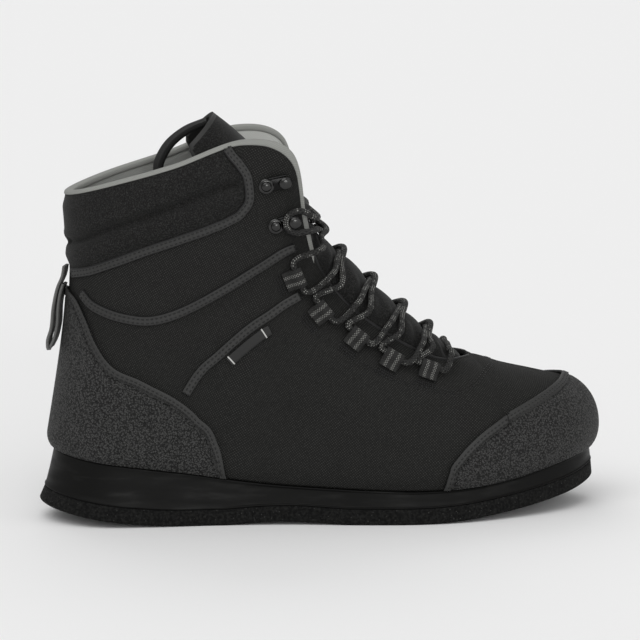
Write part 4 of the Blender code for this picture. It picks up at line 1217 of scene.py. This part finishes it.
def stitch_row(line, far, aside, out):
    """Centres, runs and normals of one row of stitches beside a seam."""
    _, _, _, length = seam_frame(line, far, 20)
    count = max(4, int(length / STITCH_PITCH))
    u, v, across, _ = seam_frame(line, far, count)
    station, level = beside(u, v, across * aside)
    spot = dressed(station, level, out)
    return spot, centred(spot), skin_normal(station, level)


def make_stitches(name, rows, material):
    """Every stitch of a set of rows, as one mesh of small grains of thread."""
    grain = bmesh.new()
    bmesh.ops.create_icosphere(grain, subdivisions=1, radius=1.0)
    template = bpy.data.meshes.new("grain")
    grain.to_mesh(template)
    grain.free()
    bm = bmesh.new()
    for spot, run, out in rows:
        side = np.cross(out, run)
        for place, along, across, up in zip(spot, run, side, out):
            turn = matrix_of(along * STITCH_LENGTH / 2, across * STITCH_WIDTH / 2,
                             up * STITCH_WIDTH / 2, place)
            old = len(bm.verts)
            bm.from_mesh(template)
            bm.verts.ensure_lookup_table()
            bmesh.ops.transform(bm, matrix=turn, verts=bm.verts[old:])
    bpy.data.meshes.remove(template)
    bmesh.ops.recalc_face_normals(bm, faces=bm.faces)
    stitches = finished(bm, name, [material])
    return stitches


# Tongue and straps


def tongue_relief(s, t):
    """The tongue swells between the lace's passes, folds on its wings, and flattens towards its edges."""
    swell = np.ones(np.shape(s))
    for ridge, _, _ in LACE_PASSES.values():
        swell = swell * (1 - np.exp(-((s - ridge) / PASS_HOLLOW) ** 2))
    upright = smooth((SWELL_END - s) / SWELL_FADE) * smooth(s / SWELL_RISE)
    side = np.abs(t)
    wings = smooth((side - WING_START) / WING_FADE)
    folds = TONGUE_FOLD * np.sin(11 * s + 9 * side) * wings * upright
    dents = TONGUE_DENT * np.sin(2.6 * s + 2 * t) * np.sin(3.1 * t + s) * upright
    return (TONGUE_SWELL * swell * upright + dents + folds) * smooth((1 - side) / TONGUE_EDGE_FADE)


def make_tongue(cloth, binding, lining):
    s = np.linspace(0, len(TONGUE) - 1, 170)
    t = np.linspace(-1, 1, 72)
    rows, over = np.meshgrid(s, t, indexing="ij")
    point = tongue_point(rows, over, tongue_relief(rows, over))
    way = tongue_point(rows, over, 1 * MM) - tongue_point(rows, over, 0.0)
    bm = ground_grid(point, chart_of(point))
    facing_out(bm, point, way)
    peak = tongue_point(np.full(t.shape, s[-1]), t, 0.0)
    bound = s[s > BOUND_FROM]
    edges = np.concatenate([peak, tongue_point(bound, -1.0, 0.0), tongue_point(bound, 1.0, 0.0)])
    for face in bm.faces:
        near = np.linalg.norm(edges - np.array(face.calc_center_median()), axis=-1).min()
        face.material_index = 1 if near < TONGUE_BINDING else 0
    merged(bm)
    tongue = finished(bm, "padded_tongue", [cloth, binding, lining])
    with_wall(tongue, TONGUE_WALL, inner=2, rim=1)
    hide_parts("tongue")
    return tongue


def ribbon(name, path, across, width, thick, materials, count=90):
    """A soft strap along a path, its width along across, with rounded edges."""
    path = evenly(path, count)
    run = centred(path)
    across = np.broadcast_to(np.asarray(across, float), path.shape)
    across = unit(across - run * (across * run).sum(-1, keepdims=True))
    up = unit(np.cross(run, across))
    corners = [(-1, .3), (-.94, 1), (-.5, 1), (0, 1), (.5, 1), (.94, 1), (1, .3),
               (1, -.3), (.94, -1), (.5, -1), (0, -1), (-.5, -1), (-.94, -1), (-1, -.3)]
    sections = np.stack([path + across * (side * width / 2) + up * (high * thick / 2)
                         for side, high in corners], 1)
    return lofted(sections, name, materials)


def aside(degrees):
    """The direction to the inner side, turned towards the toe."""
    twist = math.radians(degrees)
    return (math.sin(twist), math.cos(twist), 0)


def make_pull_loops(heel_web, tongue_web):
    levels = np.array(HEEL_LOOP)
    back = skin(np.full(len(levels), float(LAST)), levels[:, 0], HEEL_LOOP_REACH * levels[:, 1])
    heel = ribbon("heel_pull_webbing", back, aside(HEEL_LOOP_TWIST), HEEL_LOOP_WIDTH, STRAP_THICKNESS,
                  [heel_web])
    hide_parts("heel_pull_loop")
    rows = side_view(TONGUE_LOOP)
    path = np.stack([rows[:, 0], np.zeros(len(rows)), rows[:, 1]], -1)
    tongue = ribbon("tongue_pull_webbing", path, aside(TONGUE_LOOP_TWIST), TONGUE_LOOP_WIDTH,
                    TONGUE_LOOP_FOLD, [tongue_web])
    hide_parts("tongue_pull_loop")


# Lace, loops and hooks


def lace_route(far):
    """The lace's route, from the middle of its lowest bar to its hidden end behind the tongue."""
    passes = list(LACE_PASSES.values())
    ridge, start, _ = passes[0]
    points = [over_tongue(ridge, 0.0, LOW_PASS), over_shoulder(ridge, start, far), over_lip(start, far)]
    for number, (ridge, below, above) in zip(range(len(LACE_LOOPS), 0, -1), passes[1:]):
        high = LOW_PASS if far else HIGH_PASS
        points += [loop_seat(number, end, far) for end in (-SEAT_REACH, -0.8, 0.8, SEAT_REACH)]
        points += [over_lip(below, far), over_shoulder(ridge, below, far), over_tongue(ridge, 0.0, high),
                   over_shoulder(ridge, above, not far), over_lip(above, not far)]
        far = not far
    points.pop()
    points += hook_turn(2, far)
    ridge, end, _ = passes[-1]
    points += [over_lip(end, far), over_shoulder(ridge, end, far),
               over_tongue(ridge, 0.0, LOW_PASS if far else HIGH_PASS), over_shoulder(ridge, end, not far)]
    return evenly(points, LACE_RINGS)


def make_lace(cord):
    """The two halves of one lace, which meet in the middle of its lowest bar."""
    for name, far in (("lace_half_one", False), ("lace_half_two", True)):
        path = lace_route(far)
        run = centred(path)
        last = np.cross(run[0], (0.0, 0.0, 1.0))
        sections = []
        for spot, way in zip(path, run):
            last = last - way * float(last @ way)
            last /= np.linalg.norm(last)
            other = np.cross(way, last)
            angles = np.linspace(0, math.tau, 12, endpoint=False)[:, None]
            sections.append(spot + LACE_RADIUS * (np.cos(angles) * last + np.sin(angles) * other))
        half = lofted(np.array(sections), name, [cord])
    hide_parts("lace")


def make_lace_loops(web, thread):
    """Ten folded webbing tunnels, each tacked down at its low end."""
    fold = np.array(LOOP_FOLD) * MM
    path = np.stack([fold[:, 0], np.zeros(len(fold)), fold[:, 1]], -1)
    for side, far in SIDES:
        for number in range(1, len(LACE_LOOPS) + 1):
            spot = loop_place(number, far)
            loop = ribbon(f"webbing_loop_{side}_{number}", path, (0, 1, 0), LOOP_WIDTH, LOOP_STRAP,
                          [web], count=44)
            loop.data.transform(spot)
            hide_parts(f"lace_loop_{side}_{number}")
    rows = []
    for far in (False, True):
        for number, (station, level, _) in enumerate(LACE_LOOPS.values(), 1):
            spot = np.array(loop_place(number, far))
            along, across = spot[:3, 0], spot[:3, 1]
            for gone in TACK_ROWS:
                ways = np.array([along * gone + across * share * LOOP_WIDTH
                                 for share in np.linspace(-0.5, 0.5, TACKS_IN_ROW)])
                u = np.full(TACKS_IN_ROW, on_side(station, far))
                u, v = beside(u, np.full(TACKS_IN_ROW, level), ways)
                lean = np.tile(along * 0.8 + across * 0.6, (TACKS_IN_ROW, 1))
                rows.append((dressed(u, v, TACK_LIFT), lean, skin_normal(u, v)))
    make_stitches("loop_tacks", rows, thread)


def make_hooks(metal, dome):
    """Four speed hooks: a pressed plate, a domed rivet, a post, and a bar along the plate's edge."""
    for side, far in SIDES:
        for number in range(1, len(HOOKS) + 1):
            bm = bmesh.new()
            pressed_plate(bm)
            for at, radius, high, profile in (
                    (RIVET_SEAT, DOME_RADIUS, DOME_HEIGHT, RIVET_DOME),
                    (POST_SEAT, RIVET_RADIUS, POST_HEIGHT, POST_SHAPE)):
                for face in turned(bm, HOOK_LENGTH * at, radius, high, profile):
                    face.material_index = 1
            rolled_bar(bm, -1 if far else 1)
            bmesh.ops.recalc_face_normals(bm, faces=bm.faces)
            hook = finished(bm, f"speed_hook_{side}_{number}", [metal, dome], hook_place(number, far))
            hook.data.set_sharp_from_angle(angle=math.radians(50))
            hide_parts(f"lace_hook_{side}_{number}", f"lace_rivet_{side}_{number}")


def pressed_plate(bm):
    """A hook's plate: a long oval, pulled in at its waist, with a rounded upper rim."""
    ring = bmesh.ops.create_circle(bm, cap_ends=True, segments=40, radius=1.0)["verts"]
    for vert in ring:
        waist = 1 - PLATE_WAIST * (1 - abs(vert.co.x)) ** 1.4
        along = HOOK_LENGTH * (PLATE_MIDDLE + PLATE_HALF_LENGTH * vert.co.x)
        vert.co = Vector((along, PLATE_HALF_WIDTH * vert.co.y * waist, 0))
    plate = bmesh.ops.extrude_face_region(bm, geom=list(bm.faces))["geom"]
    lifted = [item for item in plate if isinstance(item, bmesh.types.BMVert)]
    bmesh.ops.translate(bm, vec=(0, 0, HOOK_STRAP), verts=lifted)
    rim = [edge for edge in bm.edges if all(vert in lifted for vert in edge.verts)]
    bmesh.ops.bevel(bm, geom=rim, offset=PLATE_ROUND, segments=2, profile=0.5, affect="EDGES", material=-1)


def turned(bm, at, radius, high, profile):
    """The faces of a turned shape that stands on the hook's plate, spun from its profile."""
    old = set(bm.faces)
    verts = [bm.verts.new((at + radius * out, 0, HOOK_STRAP + high * up)) for out, up in profile]
    edges = [bm.edges.new(pair) for pair in zip(verts, verts[1:])]
    bmesh.ops.spin(bm, geom=verts + edges, axis=(0, 0, 1), cent=(at, 0, 0), dvec=(0, 0, 0),
                   angle=math.tau, steps=24, use_merge=True)
    bmesh.ops.remove_doubles(bm, verts=bm.verts, dist=1e-6)
    return [face for face in bm.faces if face not in old]


def rolled_bar(bm, way):
    """The plate's upper edge, rolled over into a bar that holds the lace in."""
    made = bmesh.ops.create_cone(bm, cap_ends=True, segments=12, radius1=ROD_RADIUS, radius2=ROD_RADIUS,
                                 depth=ROD_LENGTH)["verts"]
    bmesh.ops.rotate(bm, cent=(0, 0, 0), matrix=Matrix.Rotation(math.pi / 2, 3, "Y"), verts=made)
    place = (ROD_MIDDLE, way * ROD_ASIDE, HOOK_STRAP + ROD_ABOVE)
    bmesh.ops.translate(bm, vec=place, verts=made)


# Sole


def make_sole(rubber, felt):
    edge = FELT_EDGE
    turn = [(math.sin(angle), 1 - math.cos(angle)) for angle in np.linspace(0, math.pi / 2, 5)]
    levels = [(lambda u, out=out: flared(1.0)(u) - edge * (1 - out), above_tread(edge * up))
              for out, up in turn]
    levels += [(flared(1 - FELT_SHARE * share), above_tread(edge + (FELT_THICKNESS - edge) * share))
               for share in (0.35, 0.7, 1.0)]
    sections = sole_sections(levels, above_tread(FELT_THICKNESS), above_tread(0))
    slab = lofted(sections, "felt_slab", [felt], capped=False)
    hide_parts("felt_sole")
    seam = FELT_THICKNESS + MIDSOLE_SEAM
    levels = [(lambda u, out=out: flared(1 - FELT_SHARE)(u) + out, above_tread(seam + up))
              for up, out in MIDSOLE_FOOT]
    foot, straight, curved = MIDSOLE_FLARE
    for share in np.linspace(0.08, 0.93, 10):
        flare = foot + straight * share + curved * share**2
        levels.append((flared(flare), lambda u, x, share=share: side_height(u, x, seam, share)))
    levels += [(lambda u, out=out: flared(0.0)(u) + out, below_seat(down)) for down, out in MIDSOLE_TOP]
    sections = sole_sections(levels, below_seat(0), above_tread(seam))
    side = lofted(sections, "moulded_midsole", [rubber], capped=False)
    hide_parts("midsole")


def side_height(u, x, seam, share):
    """The height at a share of the midsole's side."""
    low = tread_height(x) + seam
    return low + (seat_height(u) - low) * share


# Camera and light


def make_camera():
    """The photo's view: a long lens, slightly from behind and above, rolled a little."""
    a, e, r = (math.radians(angle) for angle in (CAMERA_AZIMUTH, CAMERA_ELEVATION, CAMERA_ROLL))
    back = Vector((math.sin(a) * math.cos(e), -math.cos(a) * math.cos(e), math.sin(e)))
    right = Vector((math.cos(a), math.sin(a), 0))
    up = back.cross(right)
    camera = added("camera", bpy.data.cameras.new("camera"))
    camera.matrix_world = matrix_of(
        right * math.cos(r) + up * math.sin(r), up * math.cos(r) - right * math.sin(r), back,
        Vector(CAMERA_TARGET) + back * CAMERA_DISTANCE)
    camera.data.lens = CAMERA_LENS
    camera.data.sensor_width = 36
    camera.data.clip_start = 0.05
    camera.data.clip_end = 50
    bpy.context.scene.camera = camera


def make_light(name, place, spread, power):
    """A wide, soft light from far away."""
    light = bpy.data.lights.new(name, "SUN")
    light.angle = math.radians(spread)
    light.energy = power
    lamp = added(name, light)
    lamp.location = place
    lamp.rotation_mode = "QUATERNION"
    lamp.rotation_quaternion = Vector(place).to_track_quat("Z", "Y")


def make_studio():
    world = bpy.data.worlds.new("studio")
    bpy.context.scene.world = world
    world.use_nodes = True
    sky = world.node_tree.nodes["Background"]
    sky.inputs["Color"].default_value = (1, 1, 1, 1)
    sky.inputs["Strength"].default_value = WORLD_STRENGTH
    for name, (place, spread, power) in LIGHTS.items():
        make_light(name, place, spread, power)
    bpy.context.scene.view_settings.view_transform = "Standard"
    material, tree, shader, place = surface("pale paper floor", 0.95, Specular_IOR_Level=0.0)
    shader.inputs["Base Color"].default_value = tone(FLOOR_TONE)
    bm = bmesh.new()
    bmesh.ops.create_grid(bm, x_segments=2, y_segments=2, size=12)
    mesh = bpy.data.meshes.new("floor")
    bm.to_mesh(mesh)
    bm.free()
    mesh.materials.append(material)
    floor = added("floor", mesh)


def make_boot():
    make_camera()
    make_studio()
    vamp = coated_cloth("coated polyester canvas", "161615", "40403e", 38, 0.0012)
    pads, grit = pad_cloth(), gritty_rubber()
    # The sealed cut edge is the piping and the overlays' cut edges, and painted shadow at the bands' edges.
    binding, cut_edge_and_edge_shadow = grained("folded coated binding"), grained("sealed cut edge and painted edge shadow")
    rubber, felt = moulded_rubber(), wading_felt()
    lining = lining_mesh("pale spacer mesh lining", "adaeaa", "c3c4c0")
    rolled = lining_mesh("grey knitted collar edge", "858682", "969793")
    shade_lining = lining_mesh("dark spacer mesh lining", "1e1e1d", "2f2f2e")
    web = webbing("striped loop webbing", "1f1f1e", "30302f", "7c7c78", LOOP_WIDTH / 2, 2.3 * MM, 0.9 * MM)
    heel_web = webbing("grey pull webbing", "5c5c5b", "7a7a78", "8c8c8a", HEEL_LOOP_WIDTH / 2,
                       0.0, 2.2 * MM)
    dark_web = webbing("black pull webbing", "121212", "1c1c1b", "242423", TONGUE_LOOP_WIDTH / 2,
                       3 * MM, 0.8 * MM)
    cord, label, thread = braided_cord(), flap_silicone(), grained("bonded nylon thread")
    metal, dome = grained("black enamelled steel"), grained("black nickel plate", 1.0)
    make_lace(cord)
    make_upper(vamp, pads, lining)
    make_roll("collar_roll", ROLL_START, other_side(ROLL_START), ROLL_LAPS, ROLL_REACH, rolled, "foam")
    for side, ends in (("lateral", PIPING_ENDS), ("medial", other_side(PIPING_ENDS[::-1]))):
        make_roll(f"throat_piping_{side}", *ends, PIPING_LAPS, PIPING_REACH, cut_edge_and_edge_shadow, "binding")
    make_patch("toe_cap", CAP_EDGE, [grit, binding, cut_edge_and_edge_shadow], 150)
    make_patch("heel_counter", COUNTER_EDGE, [grit, binding, cut_edge_and_edge_shadow], 150)
    rows = []
    for name, line in BAND_LINES.items():
        for side, far in SIDES:
            # Each band's near-black edge rows are painted shadow outlining it.
            band = make_band(f"{name}_strip_{side}", line, far, BAND_WIDTH, OVERLAY, BAND_SEAT,
                             [binding, cut_edge_and_edge_shadow], BAND_FOLD)
            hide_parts(f"{name}_{side}")
            rows += [stitch_row(line, far, aside, OVERLAY + BAND_STITCH_LIFT) for aside in BAND_STITCHES]
    for far in (False, True):
        rows += [stitch_row(VAMP_SEAM, far, aside, VAMP_STITCH_LIFT) for aside in VAMP_STITCHES]
        rows += [stitch_row(line, far, -aside, LIFT + OVERLAY + BORDER_RAISE)
                 for line in (CAP_EDGE, COUNTER_EDGE) for aside in BORDER_STITCHES]
    make_stitches("seam_stitches", rows, thread)
    tag = make_band("side_tag", TAG_LINE, False, LABEL_WIDTH, LABEL_THICKNESS, TAG_LIFT, [label, label])
    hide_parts("side_label")
    make_tongue(pads, binding, shade_lining)
    make_pull_loops(heel_web, dark_web)
    make_lace_loops(web, thread)
    make_hooks(metal, dome)
    make_sole(rubber, felt)
    inside = frame["nodes"]["insole"]
    inside.data.materials.clear()
    inside.data.materials.append(grained("cloth-faced footbed foam"))


make_boot()
